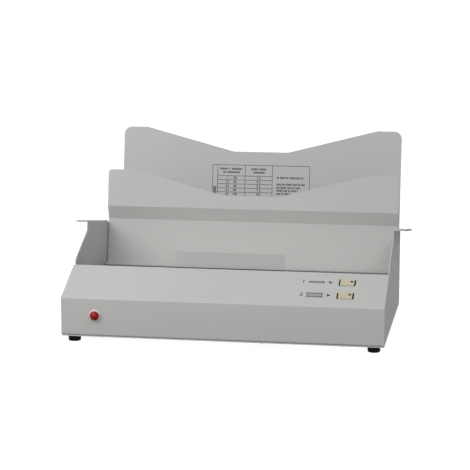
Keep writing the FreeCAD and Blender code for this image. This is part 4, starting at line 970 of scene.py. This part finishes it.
CAMERA_PLACE = (0.33289, -2.12025, 0.47203)
CAMERA_YAW = math.radians(9.1562)
CAMERA_PITCH = math.radians(9.6569)
CAMERA_ROLL = math.radians(0.1364)
FOCAL_PIXELS = 1754.2
FRAME_PIXELS = 470
SENSOR = 36.0


def floor():
    """Pale round floor: white to the eye, and it throws no light back on the machine."""
    turn = turns(FLOOR_SIDES)
    rim = np.stack([np.cos(turn), np.sin(turn), 0 * turn], axis=-1) * FLOOR_RADIUS
    mesh = bpy.data.meshes.new("floor")
    mesh.from_pydata(rim.tolist(), [], [list(range(len(rim)))])
    thing = bpy.data.objects.new("floor", mesh)
    bpy.context.scene.collection.objects.link(thing)
    pale = Finish("pale_floor", FLOOR_GREY, {"Roughness": FLOOR_ROUGHNESS, "Specular IOR Level": 0.0})
    pale.set("Emission Color", WHITE)
    pale.set("Emission Strength", FLOOR_GLOW)
    mesh.materials.append(pale.material)
    thing.visible_diffuse = False
    thing.visible_glossy = False


def room():
    """Even pale surroundings."""
    world = bpy.data.worlds.new("room")
    world.use_nodes = True
    background = world.node_tree.nodes["Background"]
    background.inputs["Color"].default_value = WHITE
    background.inputs["Strength"].default_value = ROOM_LEVEL
    bpy.context.scene.world = world


def lamp(name, kind, power, place, **settings):
    """A light at a place, turned to shine on the machine."""
    light = bpy.data.lights.new(name, kind)
    light.energy = power
    for key, value in settings.items():
        setattr(light, key, value)
    thing = bpy.data.objects.new(name, light)
    thing.location = place
    thing.rotation_euler = (LIGHT_AIM - Vector(place)).to_track_quat("-Z", "Y").to_euler()
    bpy.context.scene.collection.objects.link(thing)


def camera():
    """The photograph's view: yaw to the left, pitch down and a hair of roll."""
    lens = bpy.data.cameras.new("camera")
    lens.sensor_width = SENSOR
    lens.lens = FOCAL_PIXELS / FRAME_PIXELS * SENSOR
    lens.clip_end = FLOOR_RADIUS * 2
    thing = bpy.data.objects.new("camera", lens)
    thing.location = CAMERA_PLACE
    level = Matrix.Rotation(CAMERA_YAW, 3, "Z") @ Matrix.Rotation(math.pi / 2 - CAMERA_PITCH, 3, "X")
    thing.rotation_euler = (level @ Matrix.Rotation(CAMERA_ROLL, 3, "Z")).to_euler()
    bpy.context.scene.collection.objects.link(thing)
    bpy.context.scene.camera = thing


floor()
room()
lamp("soft_box", "AREA", SOFT_BOX_POWER, SOFT_BOX_PLACE, size=SOFT_BOX_SIZE)
lamp("left_window", "AREA", WINDOW_POWER, WINDOW_PLACE, size=WINDOW_SIZE)
lamp("front_fill", "SUN", FRONT_FILL_POWER, FRONT_FILL_PLACE, angle=FILL_SPREAD)
lamp("right_fill", "SUN", RIGHT_FILL_POWER, RIGHT_FILL_PLACE, angle=FILL_SPREAD)
lamp("rear_fill", "SUN", REAR_FILL_POWER, REAR_FILL_PLACE, angle=FILL_SPREAD)
camera()
bpy.context.scene.view_settings.view_transform = "Standard"
